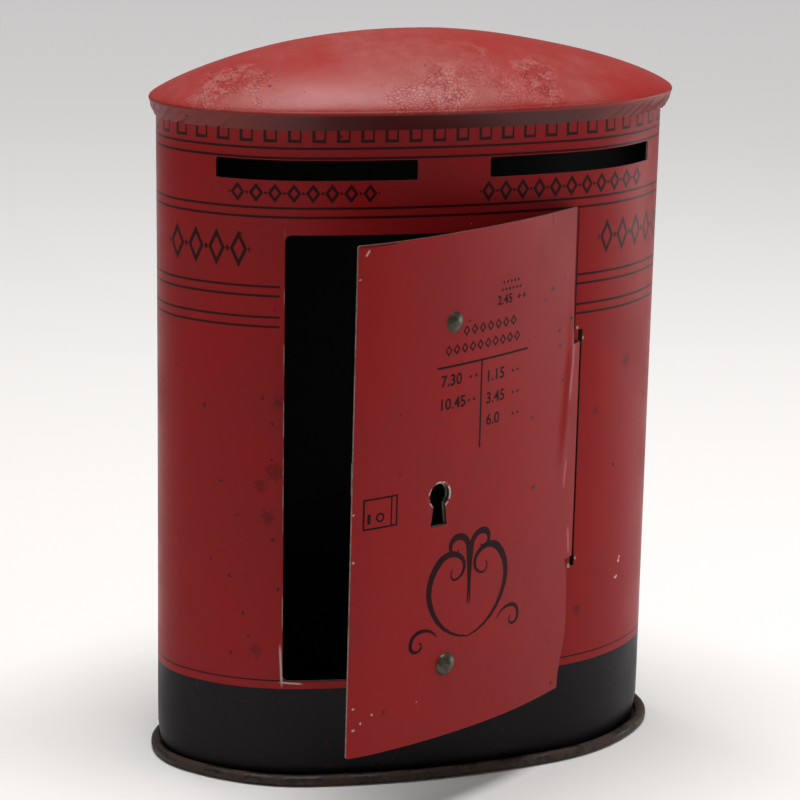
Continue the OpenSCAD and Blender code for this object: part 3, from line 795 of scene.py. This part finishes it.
# %% [markdown]
# Where the sheet was cut the bare tin shows, grey and a little brown. The inside was never printed: it is
# darkened tin, made nearly black to paint the shade inside the box. The pan's rim has lost its lacquer where
# it rubs, and rusts. The lock is plain steel, and the rivets have a greenish grey skin.

# %% Finishes of the bare metal


def metal(name, bright, dark, rust, rusted, roughness, metallic, patch=6.0, pitted=0.5, seed=0.0):
    """Old bare metal: bright and dark patches, rust where the cloud is thick, and pits."""
    material, tree, shader, place = new_finish(name)
    spot = place["Object"]
    age = use(tree, mottle, Place=spot, Patch=patch, Seed=seed)
    pit = marks_of(tree, spot, Spacing=2.0, Size=0.22, Share=pitted, Seed=seed + 1)
    rusty = fade(tree, ramp(tree, age["Grain"], 0.5, age["Cloud"]), 1.35 - rusted, 1.75 - rusted)
    rusty = calc(tree, "MAXIMUM", rusty, times(tree, pit, rusted))
    colour = blend(tree, fade(tree, age["Grain"], 0.35, 0.65), bright, dark)
    height = minus(tree, times(tree, age["Grain"], 0.3), times(tree, pit, 0.4))
    feed_all(tree, shader, {
        "Base Color": blend(tree, rusty, colour, rust),
        "Metallic": times(tree, minus(tree, 1.0, rusty), metallic),
        "Roughness": ramp(tree, rusty, 0.35, roughness),
        "Normal": bump(tree, height),
    })
    return material


cut_edge = metal("cut_edge", srgb(128, 116, 110), srgb(96, 84, 78), srgb(84, 54, 42),
                 rusted=0.35, roughness=0.4, metallic=0.6, patch=4.0)
# Nearly black: darkened tin, made dark enough to paint the shade inside the box
inside_tin_and_shade = metal("inside_tin_and_shade", srgb(26, 24, 24), srgb(16, 15, 15), srgb(30, 20, 15),
                   rusted=0.2, roughness=0.5, metallic=0.3, patch=18.0)
rim_tin = metal("rim_tin", srgb(70, 58, 48), srgb(22, 18, 18), srgb(58, 38, 28),
                rusted=0.75, roughness=0.5, metallic=0.5, patch=7.0, seed=2.0)
lock_steel = metal("lock_steel", srgb(132, 130, 124), srgb(98, 96, 92), srgb(92, 64, 46),
                   rusted=0.35, roughness=0.38, metallic=0.85, patch=8.0)
rivet_grey = metal("rivet_grey", srgb(86, 80, 66), srgb(52, 48, 38), srgb(44, 34, 28),
                   rusted=0.2, roughness=0.36, metallic=0.6, patch=1.5, pitted=0.1)

# %% [markdown]
# The wall is one sheet: it turns out at the foot, where the pan's rim grips it, stands upright, and flares at
# the top under the lid. The outer face is swept first, then Solidify gives it the tin's thickness, with the
# dark finish inside and bare tin on its edges. Openings are cut last, and their cutters carry the bare tin.

# %% The wall's outer face
LID_OVER, SKIRT_H, EDGE_R, DOME_LEAN = 2.2, 3.5, 0.7, 50.0
RIM_OVER, RIM_D = 2.8, 2.4
FLOOR_Z = 2.6
bend_o = LID_OVER - EDGE_R
skirt_span = Vector((bend_o - SHEET - GAP, SKIRT_H))
skirt_lean = math.degrees(math.atan2(skirt_span.y, skirt_span.x) - math.asin(EDGE_R / skirt_span.length))
skirt_out = Vector((sine(skirt_lean), -cosine(skirt_lean)))
skirt_up = Vector((cosine(skirt_lean), sine(skirt_lean)))
skirt_top = Vector((bend_o, edge_z)) + EDGE_R * skirt_out
skirt_run = (skirt_top.y - (edge_z - SKIRT_H)) / skirt_up.y
skirt_foot = skirt_top - skirt_run * skirt_up
flare_line = skirt_foot - (SHEET + GAP) * skirt_out
flare_z = flare_line.y - flare_line.x * skirt_up.y / skirt_up.x
flare_tip = Vector((0, flare_z)) + (skirt_run - EDGE_R) * skirt_up
rim_r = RIM_D / 2
rim_o = RIM_OVER - rim_r
foot_z = SHEET + GAP


def face_out(piece, inner=Vector((0, 0, 70))):
    """Flips the faces of a swept sheet if they look at the inside."""
    mesh = bmesh.from_edit_mesh(piece.data)
    mesh.faces.ensure_lookup_table()
    looks_out = sum(f.calc_area() * f.normal.dot(f.calc_center_median() - inner * MM) for f in mesh.faces)
    if looks_out < 0:
        bpy.ops.mesh.flip_normals()


def give_finishes(piece, *finishes):
    for finish in finishes:
        piece.data.materials.append(finish)


def thicken(piece):
    """Gives a swept outer face the tin's thickness, inward."""
    apply(piece, "SOLIDIFY", thickness=SHEET * MM, offset=-1, use_even_offset=True,
          material_offset=1, material_offset_rim=2)


WALL_ROWS = 24
upright = [(0, foot_z + SHEET + (flare_z - foot_z - SHEET) * k / WALL_ROWS) for k in range(WALL_ROWS + 1)]
wall = sweep_round("printed_wall", [(rim_o + 0.2, foot_z + SHEET), *upright, tuple(flare_tip)])
face_out(wall)

# Years of squeezing have left the two ends of the oval a little fuller, most of all low down
BULGE, BULGE_LOW, BULGE_FROM, BULGE_LOW_TOP = 0.27, 0.53, 26.0, 110.0


def smooth(value, start, end):
    share = min(1.0, max(0.0, (value - start) / (end - start)))
    return share * share * (3 - 2 * share)


def outward(point):
    return Vector((point.x, point.y * BODY_W / BODY_D, 0)).normalized()


def bulge(point):
    """How far the sheet stands out at a point, in millimetres: nothing at the lid's edge."""
    low = min(1.0, max(0.0, 1 - point.z / BULGE_LOW_TOP)) ** 1.5
    out = (BULGE + BULGE_LOW * low) * smooth(point.z, 1, 8)
    return out * smooth(abs(point.x), BULGE_FROM, BODY_W / 2 - 6) * smooth(point.z, edge_z, flare_z)


leave_edit()
for vertex in wall.data.vertices:
    point = vertex.co / MM
    vertex.co += outward(point) * bulge(point) * MM
give_finishes(wall, wall_red, inside_tin_and_shade, cut_edge)
thicken(wall)
print("wall", len(wall.data.polygons), "faces before cutting")

# %% Openings in the wall
THROUGH = 2.0
STRIP_W, SLIT_W, NOTCH_H, NOTCH_MORE = 1.2, 1.0, 2.6, 0.15


def on_wall(angle):
    """The frame of a flat piece that is laid on the wall where the wall faces this way."""
    return Matrix.Translation(wall_point(angle) * MM) @ Matrix.Rotation(math.radians(angle - FRONT), 4, "Z")


hinge_frame = on_wall(hinge_a)


def block(low, high, corner=0.0, place=Matrix.Identity(4)):
    """A cutter between two corners, rounded along y, moved to its place."""
    leave_edit()
    low, high = Vector(low), Vector(high)
    bpy.ops.mesh.primitive_cube_add(size=1, location=(low + high) / 2 * MM, scale=(high - low) * MM)
    cutter = settled()
    if corner:
        edit(cutter)
        pick(cutter, lambda p: abs((p[1] - p[0]).normalized().y) > 0.9, "edges")
        bpy.ops.mesh.bevel(offset=corner * MM, segments=8, affect="EDGES")
        leave_edit()
    cutter.data.transform(place)
    give_finishes(cutter, cut_edge)
    return cutter


front_y, behind_y = -BODY_D / 2 - THROUGH, -BODY_D / 4
slope = cosine(hinge_a - FRONT)
narrow = HINGE_X - (EDGE_BACK + EDGE_LAP) * slope
TONGUE_ROOM = 0.5
MEET = 0.01
coin_slots = [
    (SLOT_SHIFT - SLOT_FAR, SLOT_SHIFT - SLOT_NEAR),
    (SLOT_SHIFT + SLOT_NEAR, SLOT_SHIFT + SLOT_FAR),
]
notch_right = STRIP_W / 2 + SLIT_W + NOTCH_MORE
carve(
    wall,
    *[block((left, front_y, SLOT_Z), (right, behind_y, SLOT_Z + SLOT_H), SLOT_R)
      for left, right in coin_slots],
    block((-OPENING_LEFT, front_y, OPENING_Z), (narrow, behind_y, OPENING_Z + OPENING_H), OPENING_R),
    block((narrow - 1, front_y, tongue_z - TONGUE_ROOM),
          (HINGE_X - STRIP_W / 2 * slope, behind_y, tongue_z + TONGUE_H + TONGUE_ROOM)),
    block((STRIP_W / 2, -1, tongue_z - NOTCH_H), (STRIP_W / 2 + SLIT_W, 1, tongue_z + TONGUE_H + NOTCH_H),
          place=hinge_frame),
    *[block((STRIP_W / 2 + MEET, -1, z), (notch_right, 1, z + NOTCH_H), place=hinge_frame)
      for z in (tongue_z - NOTCH_H + MEET, tongue_z + TONGUE_H - MEET)],
)
map_sheet(wall, along_wall)
print("wall", len(wall.data.polygons), "faces after cutting")

# %% [markdown]
# The wall's two ends meet at the back in a folded seam. From outside it is only a line, and inside it is a
# band of two more layers.

# %% Folded seam
SEAM_W = 4.0
BACK = 90.0
seam_turn = math.degrees(SEAM_W / front_r)
seam_foot, seam_top = FLOOR_Z + 2 * SHEET, flare_z - SHEET
seam = draw_line("seam", [wall_point(BACK - seam_turn / 2, out, z) for out, z in (
    (-SHEET - 0.01, seam_foot), (-3 * SHEET, seam_foot), (-3 * SHEET, seam_top), (-SHEET - 0.01, seam_top),
    (-SHEET - 0.01, seam_foot))])
spin(ARCS[2]["centre"], seam_turn, 4)
weld()
bpy.ops.mesh.select_all(action="DESELECT")
bpy.ops.mesh.select_mode(type="EDGE")
bpy.ops.mesh.select_non_manifold()
bpy.ops.mesh.edge_face_add()
bpy.ops.mesh.select_all(action="SELECT")
bpy.ops.mesh.normals_make_consistent(inside=False)
give_finishes(seam, inside_tin_and_shade)
leave_edit()
seam.select_set(True)
wall.select_set(True)
bpy.context.view_layer.objects.active = wall
bpy.ops.object.join()
finish_piece(wall, "box", ["body_wall"])

# %% [markdown]
# The lid is one pressing: a dome, an edge that the sheet turns round, and a skirt crimped in under it. The
# skirt and the edge are swept round the oval. The dome is then drawn up from their top loop, ring by ring,
# each extruded, lifted and scaled toward the middle, and the last ring is merged at the crown.

# %% Lid
DOME_FLAT, DOME_FALL = 1.9, 0.83
DOME_RINGS = 26
BEND_STEPS = 8
SKIRT_STEPS = 5
lid_section = [tuple(skirt_foot + skirt_run * k / SKIRT_STEPS * skirt_up) for k in range(SKIRT_STEPS)]
for k in range(BEND_STEPS + 1):
    turn = skirt_lean - 90 + (DOME_LEAN + 90 - skirt_lean) * k / BEND_STEPS
    lid_section.append((bend_o + EDGE_R * cosine(turn), edge_z + EDGE_R * sine(turn)))
dome_foot = Vector(lid_section[-1])
crown = edge_z + DOME_RISE - dome_foot.y


def dome_height(share):
    return crown * (1 - share ** DOME_FLAT) ** DOME_FALL


lid = sweep_round("domed_lid", lid_section)
pick(lid, lambda p: p[0].z > dome_foot.y - 0.01)
before = 1.0
for ring in range(DOME_RINGS - 1, 0, -1):
    share = sine(90 * ring / DOME_RINGS)
    rise = dome_height(share) - dome_height(before)
    bpy.ops.mesh.extrude_region_move(TRANSFORM_OT_translate={"value": (0, 0, rise * MM)})
    bpy.ops.transform.resize(value=(share / before, share / before, 1), center_override=(0, 0, 0))
    before = share
bpy.ops.mesh.extrude_region_move(TRANSFORM_OT_translate={"value": (0, 0, (crown - dome_height(before)) * MM)})
bpy.ops.mesh.merge(type="CENTER")
weld()
face_out(lid, Vector((0, 0, 100)))
print("lid crown at", round(max(v.co.z for v in lid.data.vertices) / MM, 2), "mm")

# %% Crimp wrinkles on the skirt
# The crimping tool left slanting wrinkles where the oval is tightest, and hardly any on the front. The lid
# was not pressed home evenly either: it sits a little low on the left, and its crown has a soft ridge there.
WRINKLE_DEEP, WRINKLE_PITCH, WRINKLE_SLANT = 0.3, 3.1, 1.3
LID_TILT, LID_SHIFT = 0.25, 0.45
FULL_HIGH, FULL_X, FULL_WIDE = 0.5, -30.0, 16.0
FLAT_DEEP, FLAT_X = 0.4, 30.0
leave_edit()
for vertex in lid.data.vertices:
    point = vertex.co / MM
    below = (skirt_top.y - point.z) / (skirt_top.y - skirt_foot.y)
    push = 0.0
    if below > 0.02 and point.z < edge_z:
        tight = min(1.0, max(0.0, (abs(point.x) - 34) / 12))
        phase = 2 * math.pi * (along_wall(point) / WRINKLE_PITCH + WRINKLE_SLANT * below)
        ripple = math.sin(phase) + 0.4 * math.sin(0.37 * phase + 1)
        push = bulge(point) + WRINKLE_DEEP * (0.15 + 0.85 * tight) * ripple * min(1.0, 2 * below)
    place = point + outward(point) * push if push else point.copy()
    high = smooth(point.z, dome_foot.y, dome_foot.y + 5)
    ridge = math.exp(-((point.x - FULL_X) / FULL_WIDE) ** 2) * math.exp(-(point.y / 7) ** 2)
    flat = math.exp(-((point.x - FLAT_X) / FULL_WIDE) ** 2)
    place.z += high * (FULL_HIGH * ridge - FLAT_DEEP * flat) + (point.x - BODY_W / 2) * sine(LID_TILT)
    place.x += LID_SHIFT
    vertex.co = place * MM
give_finishes(lid, lid_red, inside_tin_and_shade, cut_edge)
thicken(lid)
finish_piece(lid, "box", ["lid"])

# %% [markdown]
# The base pan closes the foot. Its floor turns down inside the wall, runs out along the ground, and curls up
# round the wall's foot as a rolled rim. It is swept from the upstand to the curl's free end, and the floor is
# drawn in from the upstand's loop.

# %% Base pan
CURL_SPAN, CURL_STEPS = 255, 16
sink_in = -(SHEET + GAP) - SHEET
pan_section = [(sink_in, FLOOR_Z), (sink_in, 0.25), (sink_in + 0.25, 0)]
for k in range(CURL_STEPS + 1):
    turn = CURL_SPAN * k / CURL_STEPS - 90
    pan_section.append((rim_o + rim_r * cosine(turn), rim_r + rim_r * sine(turn)))
pan = sweep_round("base_rim", pan_section)
pick(pan, lambda p: abs(p[0].z - FLOOR_Z) < 0.01)
for share in (0.94, 0.7):
    bpy.ops.mesh.extrude_region_move(TRANSFORM_OT_translate={"value": (0, 0, 0)})
    bpy.ops.transform.resize(value=(share, share, 1), center_override=(0, 0, 0))
bpy.ops.mesh.edge_face_add()
weld()
face_out(pan, Vector((0, 0, 20)))
# The rim has spread a little at the front and on the right, and is pinched at its left end
RIM_SPREAD, RIM_PINCH = 0.4, 0.5
leave_edit()
for vertex in pan.data.vertices:
    point = vertex.co / MM
    left, right = smooth(-point.x, 30, BODY_W / 2), smooth(point.x, 30, BODY_W / 2)
    spread = RIM_SPREAD * max(right, smooth(-point.y, 0, 12) * (1 - left)) - RIM_PINCH * left
    vertex.co += outward(point) * spread * smooth(point.xy.length, 20, 26) * MM
give_finishes(pan, rim_tin, inside_tin_and_shade, cut_edge)
thicken(pan)
finish_piece(pan, "box", ["base_pan"])

# %% [markdown]
# The door is one curved sheet that laps over the opening. On its hinge side a long tongue passes through a
# slit and is rolled round the strip of wall beside the opening, which makes a hinge without a pin. It is
# modelled shut: swept along the front, then the tongue's edge is spun about the hinge. It is turned open at
# the very end, so that everything printed or riveted on it can be placed while it is shut.

# %% Door sheet and rolled tongue
CURL_LAST = 197
SPARE = 1.0
lock_a = facing(lock_x)
door_first = facing(-OPENING_LEFT - LAP_SIDE) - 1.0
door_edge = facing(HINGE_X - EDGE_BACK * slope)
rows = [door_z0 - SPARE + (tongue_z - door_z0 + SPARE) * k / 9 for k in range(9)]
rows += [tongue_z + TONGUE_H * k / 16 for k in range(17)] + [door_z1 - 19, door_z1 - 8, door_z1 + SPARE]
door = draw_line("door_sheet", [wall_point(door_first, DOOR_OUT, z) for z in rows])
left_shoulder, front_arc, right_shoulder = ARCS[5:8]
spin(left_shoulder["centre"], front_arc["first"] - door_first, 18)
spin(front_arc["centre"], door_edge - front_arc["first"], 72)
corner = wall_point(door_edge, DOOR_OUT)
pick(door, lambda p: all((q - corner).xy.length < 0.02 and tongue_z - 0.1 < q.z < tongue_z + TONGUE_H + 0.1
                         for q in p), "edges")
spin(front_arc["centre"], right_shoulder["first"] - door_edge, 1)
spin(right_shoulder["centre"], hinge_a - right_shoulder["first"], 5)
spin(hinge_p, CURL_LAST + 90, 40)
weld()
face_out(door)

# Fingers have twisted the door, raised a crease beside the tongue, and turned back its lower hinge corner
TWIST, TWIST_MORE = 0.72, 0.36
CREASE_FOOT, CREASE_HEAD = Vector((25.0, 70.0)), Vector((27.6, 99.0))
CREASE_HIGH, CREASE_WIDE = 0.65, 1.2
CORNER_TURN, CORNER_OUT, CORNER_LEAN = 0.02, 1.2, 1.9


def wear_of_door(point):
    """How far a place on the shut door has moved, in millimetres."""
    from_hinge = HINGE_X - point.x
    moved = Vector((0, 0, 0))
    if from_hinge < 0 or (from_hinge < 4 and point.y > hinge_p.y):
        return moved
    share = (point.z - (door_z0 + door_z1) / 2) / (door_z1 - door_z0) + TWIST_MORE
    moved.y -= math.radians(2 * TWIST * share) * from_hinge * smooth(from_hinge, 5, 62)
    along = (point.z - CREASE_FOOT.y) / (CREASE_HEAD.y - CREASE_FOOT.y)
    across = (point.x - CREASE_FOOT.x - along * (CREASE_HEAD.x - CREASE_FOOT.x)) / CREASE_WIDE
    crease = math.exp(-across ** 2) * smooth(abs(along - 0.5), 0.65, 0.2) * smooth(from_hinge, 1.2, 2.8)
    moved.y -= CREASE_HIGH * crease
    past_fold = (point.x - 8) * 0.92 - (point.z - door_z0) * 0.28
    if point.z < tongue_z and past_fold > 0:
        down = (tongue_z - point.z) / (tongue_z - door_z0)
        moved.y += CORNER_TURN * past_fold * smooth(down, 0.45, 1)
        free = smooth(past_fold, 4, 14) * smooth(down, -0.04, 0.1)
        moved.x += (CORNER_OUT - CORNER_LEAN * smooth(down, 0.5, 1)) * free
    return moved


leave_edit()
for vertex in door.data.vertices:
    vertex.co += wear_of_door(vertex.co / MM) * MM
give_finishes(door, door_red, inside_tin_and_shade, cut_edge)
thicken(door)

# %% Outline, keyhole and rivet holes
RIVET_D, KEY_DROP = 2.6, 6.6
KEY_NARROW, KEY_WIDE = 0.25, 0.42
UPRIGHT = (math.pi / 2, 0, 0)
rivet_z = [sum(c.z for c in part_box(name)) / 2 / MM for name in ("rivet_lower", "rivet_upper")]
lock_frame = on_wall(lock_a)
outline = block((-OPENING_LEFT - LAP_SIDE, -40, door_z0), (HINGE_X + 30, 0, door_z1), DOOR_R)
combine(door, "INTERSECT", outline)


def round_cutter(x, z, diameter):
    """A round cutter through the door, at a place in the lock's frame."""
    leave_edit()
    bpy.ops.mesh.primitive_cylinder_add(vertices=48, radius=diameter / 2 * MM, depth=4 * MM,
                                        rotation=UPRIGHT, location=Vector((x, 0, z)) * MM)
    cutter = settled()
    cutter.data.transform(lock_frame)
    give_finishes(cutter, cut_edge)
    return cutter


key_half = KEY_WIDE * KEY_D
foot_cutter = block((-KEY_DX - key_half, -2, key_z - KEY_DROP), (-KEY_DX + key_half, 2, key_z))
edit(foot_cutter)
pick(foot_cutter, lambda p: p[0].z > key_z - 0.1)
bpy.ops.transform.resize(value=(KEY_NARROW / KEY_WIDE, 1, 1),
                         center_override=Vector((-KEY_DX, 0, key_z)) * MM)
leave_edit()
foot_cutter.data.transform(lock_frame)
carve(door, round_cutter(-KEY_DX, key_z, KEY_D), foot_cutter,
      *[round_cutter(0, z, RIVET_D + GAP) for z in rivet_z])
map_sheet(door, lambda point: point.x)


def swing_open(piece):
    """Turns a piece from the shut door to where the door stands. Blender turns clockwise, hence the sign."""
    edit(piece)
    bpy.ops.transform.rotate(value=-math.radians(DOOR_OPEN), orient_axis="Z", center_override=hinge_p * MM)
    leave_edit()


shut_door = door.copy()
shut_door.data = door.data.copy()
bpy.context.scene.collection.objects.link(shut_door)
swing_open(door)
finish_piece(door, "door", ["door_panel"])
print("CAD door", [[round(c / MM, 2) for c in corner] for corner in (low_door, high_door)])

# %% [markdown]
# The lock hangs behind the door. Its back plate, case, bolt, spring and strap are cut from flat steel, and
# the rivets have domed heads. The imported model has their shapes, so each is copied from it, its loose
# triangles are merged, and its edges are given the small round that a pressed part has.

# %% Lock and rivets


def dressed(node_name, name, body, finish, round_by):
    """A copy of a CAD node with merged faces and rounded edges."""
    leave_edit()
    piece = frame["nodes"][node_name].copy()
    piece.data = piece.data.copy()
    piece.parent = None
    piece.name = piece.data.name = name
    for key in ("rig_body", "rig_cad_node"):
        if key in piece:
            del piece[key]
    bpy.context.scene.collection.objects.link(piece)
    piece.data.materials.clear()
    give_finishes(piece, finish)
    edit(piece)
    bpy.ops.mesh.remove_doubles(threshold=WELD)
    bpy.ops.mesh.dissolve_limited(angle_limit=math.radians(1))
    apply(piece, "BEVEL", width=round_by * MM, segments=2, limit_method="ANGLE",
          angle_limit=math.radians(40), harden_normals=False)
    finish_piece(piece, body, [node_name])


for node_name, name, body, round_by in (
    ("lock_back_plate", "lock_plate", "door", 0.08),
    ("lock_case", "lock_tray", "door", 0.12),
    ("lock_bolt", "sliding_bolt", "bolt", 0.12),
    ("bolt_spring", "leaf_spring", "door", 0.08),
    ("lock_strap", "long_strap", "door", 0.1),
):
    dressed(node_name, name, body, lock_steel, round_by)
for node_name, name in (("rivet_upper", "upper_rivet"), ("rivet_lower", "lower_rivet")):
    dressed(node_name, name, "door", rivet_grey, 0.12)

# %% [markdown]
# The door is printed too. A pen helper draws each mark flat: a short edge as wide as the line is extruded for
# a straight stroke and spun for a bend. Numbers are text made into a mesh. All marks are then wrapped onto
# the shut door and turned open with it.

# %% Pen strokes
INK_LIFT = 0.02
BOLD = 0.06
FLAT_Y = -40.0
SIZE_PER_TALL = 1.42
marks = []


def stroke(x, z, width, moves, heading=0.0):
    """Draws a line from (x, z): a number goes ahead, and (radius, angle, new width) makes a bend."""
    leave_edit()
    ahead = Vector((cosine(heading), 0, sine(heading)))
    across = Vector((-ahead.z, 0, ahead.x))
    place = Vector((x, FLAT_Y, z))
    mark = draw_line("mark", [place - across * width / 2, place + across * width / 2])
    for move in moves:
        if isinstance(move, tuple):
            radius, angle = move[:2]
            end = move[2] if len(move) > 2 else width
            centre = place + across * radius
            steps = max(3, round(abs(angle) / 12))
            turn = Matrix.Rotation(-math.radians(angle / steps), 3, "Y")
            for k in range(steps):
                spin(centre, -angle / steps, 1, axis=(0, 1, 0))
                place = centre + turn @ (place - centre)
                grown = (width + (end - width) * (k + 1) / steps) / (width + (end - width) * k / steps)
                bpy.ops.transform.resize(value=(grown, 1, grown), center_override=place * MM)
                ahead, across = turn @ ahead, turn @ across
            width = end
        else:
            for _ in range(max(1, round(move))):
                step = ahead * move / max(1, round(move))
                bpy.ops.mesh.extrude_region_move(TRANSFORM_OT_translate={"value": step * MM})
                place = place + step
    leave_edit()
    marks.append(mark)


def figure(words, x, z, tall):
    """Plain numbers, tall millimetres high, with their lower left corner at (x, z)."""
    leave_edit()
    bpy.ops.object.text_add(rotation=UPRIGHT, location=Vector((x, FLAT_Y, z)) * MM)
    text = bpy.context.object
    text.data.body = words
    text.data.size = tall * SIZE_PER_TALL * MM
    text.data.resolution_u = 3
    text.data.offset = BOLD * MM
    bpy.ops.object.convert(target="MESH")
    marks.append(settled())


def lozenge(x, z, wide, tall, bold):
    """An outlined lozenge with its middle at (x, z)."""
    leave_edit()
    middle = Vector((x, FLAT_Y, z)) * MM
    bpy.ops.mesh.primitive_circle_add(vertices=4, radius=tall / 2 * MM, fill_type="NGON",
                                      rotation=UPRIGHT, location=middle)
    mark = settled()
    edit(mark)
    bpy.ops.transform.resize(value=(wide / tall, 1, 1), center_override=middle)
    bpy.ops.mesh.inset(thickness=bold * MM)
    bpy.ops.mesh.delete(type="FACE")
    leave_edit()
    marks.append(mark)


# The printed figure of a lock
stroke(-32.1, 72.75, 0.4, [7.9])
stroke(-32.1, 66.55, 0.4, [7.9])
stroke(-31.95, 66.5, 0.4, [6.3], 90)
stroke(-24.3, 66.5, 0.4, [6.3], 90)
stroke(-25.6, 66.5, 0.35, [6.3], 90)
stroke(-28.25, 67.9, 0.4, [(0.8, 360)])
stroke(-30.8, 67.6, 0.7, [2.1], 90)

# A table of hours: two heading rows, a rule down and across, and the hours
for first, last, middle, count in ((-8.5, 7.6, 104.3, 7), (-13.2, 8.8, 100.8, 10)):
    for k in range(count):
        lozenge(first + (last - first) * (k + 0.5) / count, middle, 1.9, 2.3, 0.34)
stroke(-15.0, 97.5, 0.45, [26.3])
stroke(-2.75, 78.9, 0.45, [18.6], 90)
for words, x, z in (("7.30", -14.0, 93.5), ("10.45", -14.4, 88.6), ("1.15", -1.5, 92.6), ("3.45", -1.3, 87.9),
                    ("6.0", -1.1, 83.3)):
    figure(words, x, z, 2.35)
    for k in (0, 1):
        lozenge(x + 8.2 + 1.5 * k, z + 1.0, 0.8, 0.8, 0.2)
figure("2.45", 1.3, 108.2, 1.9)
for x in (8.0, 9.6):
    lozenge(x, 109.1, 1.0, 1.2, 0.25)
for k in range(5):
    lozenge(3.2 + 1.1 * k, 112.7, 0.7, 0.8, 0.2)
for k in range(6):
    lozenge(2.8 + 1.1 * k, 111.2, 0.7, 0.8, 0.2)

# A scroll ornament, the same on both sides of its middle line
SCROLL_X = -4.6
SCROLLS = [
    (0.0, 38.2, 0.3, 8, [(13, 66, 1.3), (8.6, 62, 1.7), (4.3, 95, 1.0), (2.6, 120, 0.5), (1.3, 150, 0.3)]),
    (0.35, 45.5, 0.3, 94, [(-80, -9, 1.3), (-2.9, -100, 1.5), (-1.9, -120, 0.7), (-1.1, -120, 0.3)]),
    (8.6, 39.9, 0.3, 58, [(-4.5, -70, 0.9), (-2.6, -90, 0.9), (-1.5, -120, 0.5), (-0.9, -120, 0.3)]),
]
for away, z, width, heading, moves in SCROLLS:
    stroke(SCROLL_X + away, z, width, moves, heading)
    mirrored = [(-radius, -angle, end) for radius, angle, end in moves]
    stroke(SCROLL_X - away, z, width, mirrored, 180 - heading)
print(len(marks), "marks")

# %% Wrapping the print onto the door
leave_edit()
for mark in marks:
    mark.select_set(True)
bpy.context.view_layer.objects.active = marks[0]
bpy.ops.object.join()
print_marks = bpy.context.object
print_marks.name = print_marks.data.name = "door_print"
apply(print_marks, "SHRINKWRAP", target=shut_door, wrap_method="PROJECT", use_project_y=True,
      use_project_x=False, use_project_z=False, use_positive_direction=True, use_negative_direction=False,
      offset=INK_LIFT * MM)
bpy.data.objects.remove(shut_door)
print_marks.data.materials.clear()
give_finishes(print_marks, print_ink)
swing_open(print_marks)
leave_edit()
print_marks.select_set(True)
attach(print_marks, "door")

# %% [markdown]
# The box stands on a pale paper floor. Light comes from a large soft window overhead, with a weaker one on
# the right that draws the sheen down the door, and a pale room all round.

# %% Floor
BACKDROP = 0.27
leave_edit()
bpy.ops.mesh.primitive_plane_add(size=14.0)
floor = bpy.context.object
floor.name = "floor"
floor_paper, tree, shader, place = new_finish("floor_paper")
from_box = measure(tree, "LENGTH", place["Object"])
far = fade(tree, from_box, 0.35, 1.5)
seen = node(tree, "LightPath").outputs["Is Camera Ray"]
feed_all(tree, shader, {
    "Base Color": blend(tree, far, srgb(237, 235, 233), srgb(236, 235, 235)),
    "Roughness": 0.9,
    "Specular IOR Level": 0.1,
    "Emission Color": srgb(255, 252, 252),
    "Emission Strength": times(tree, seen, times(tree, far, BACKDROP)),
})
give_finishes(floor, floor_paper)

# %% Lights
WORLD_LEVEL = 0.2
WORLD_COLOUR = (1.0, 0.99, 0.98, 1)
world = bpy.data.worlds.new("room")
bpy.context.scene.world = world
world.use_nodes = True
background = world.node_tree.nodes["Background"]
feed_all(world.node_tree, background, {"Color": WORLD_COLOUR, "Strength": WORLD_LEVEL})


def window(name, place, width, height, power, aim=(0, 0, 0.08)):
    """A soft rectangular light at a place in metres, turned toward aim."""
    data = bpy.data.lights.new(name, "AREA")
    data.shape = "RECTANGLE"
    data.size, data.size_y = width, height
    data.energy = power
    lamp = bpy.data.objects.new(name, data)
    bpy.context.scene.collection.objects.link(lamp)
    lamp.location = place
    lamp.rotation_euler = (Vector(aim) - Vector(place)).to_track_quat("-Z", "Y").to_euler()
    return lamp


window("overhead", (-0.05, -0.04, 1.2), 0.7, 0.5, 12.5)
window("front_streak", (0.27, -0.09, 1.0), 0.3, 0.12, 1.5)
window("left_streak", (-0.17, 0.35, 1.0), 0.15, 0.12, 0.6)
window("right", (0.6, -0.02, 0.05), 0.4, 0.3, 1.2)
bpy.context.scene.view_settings.view_transform = "Standard"
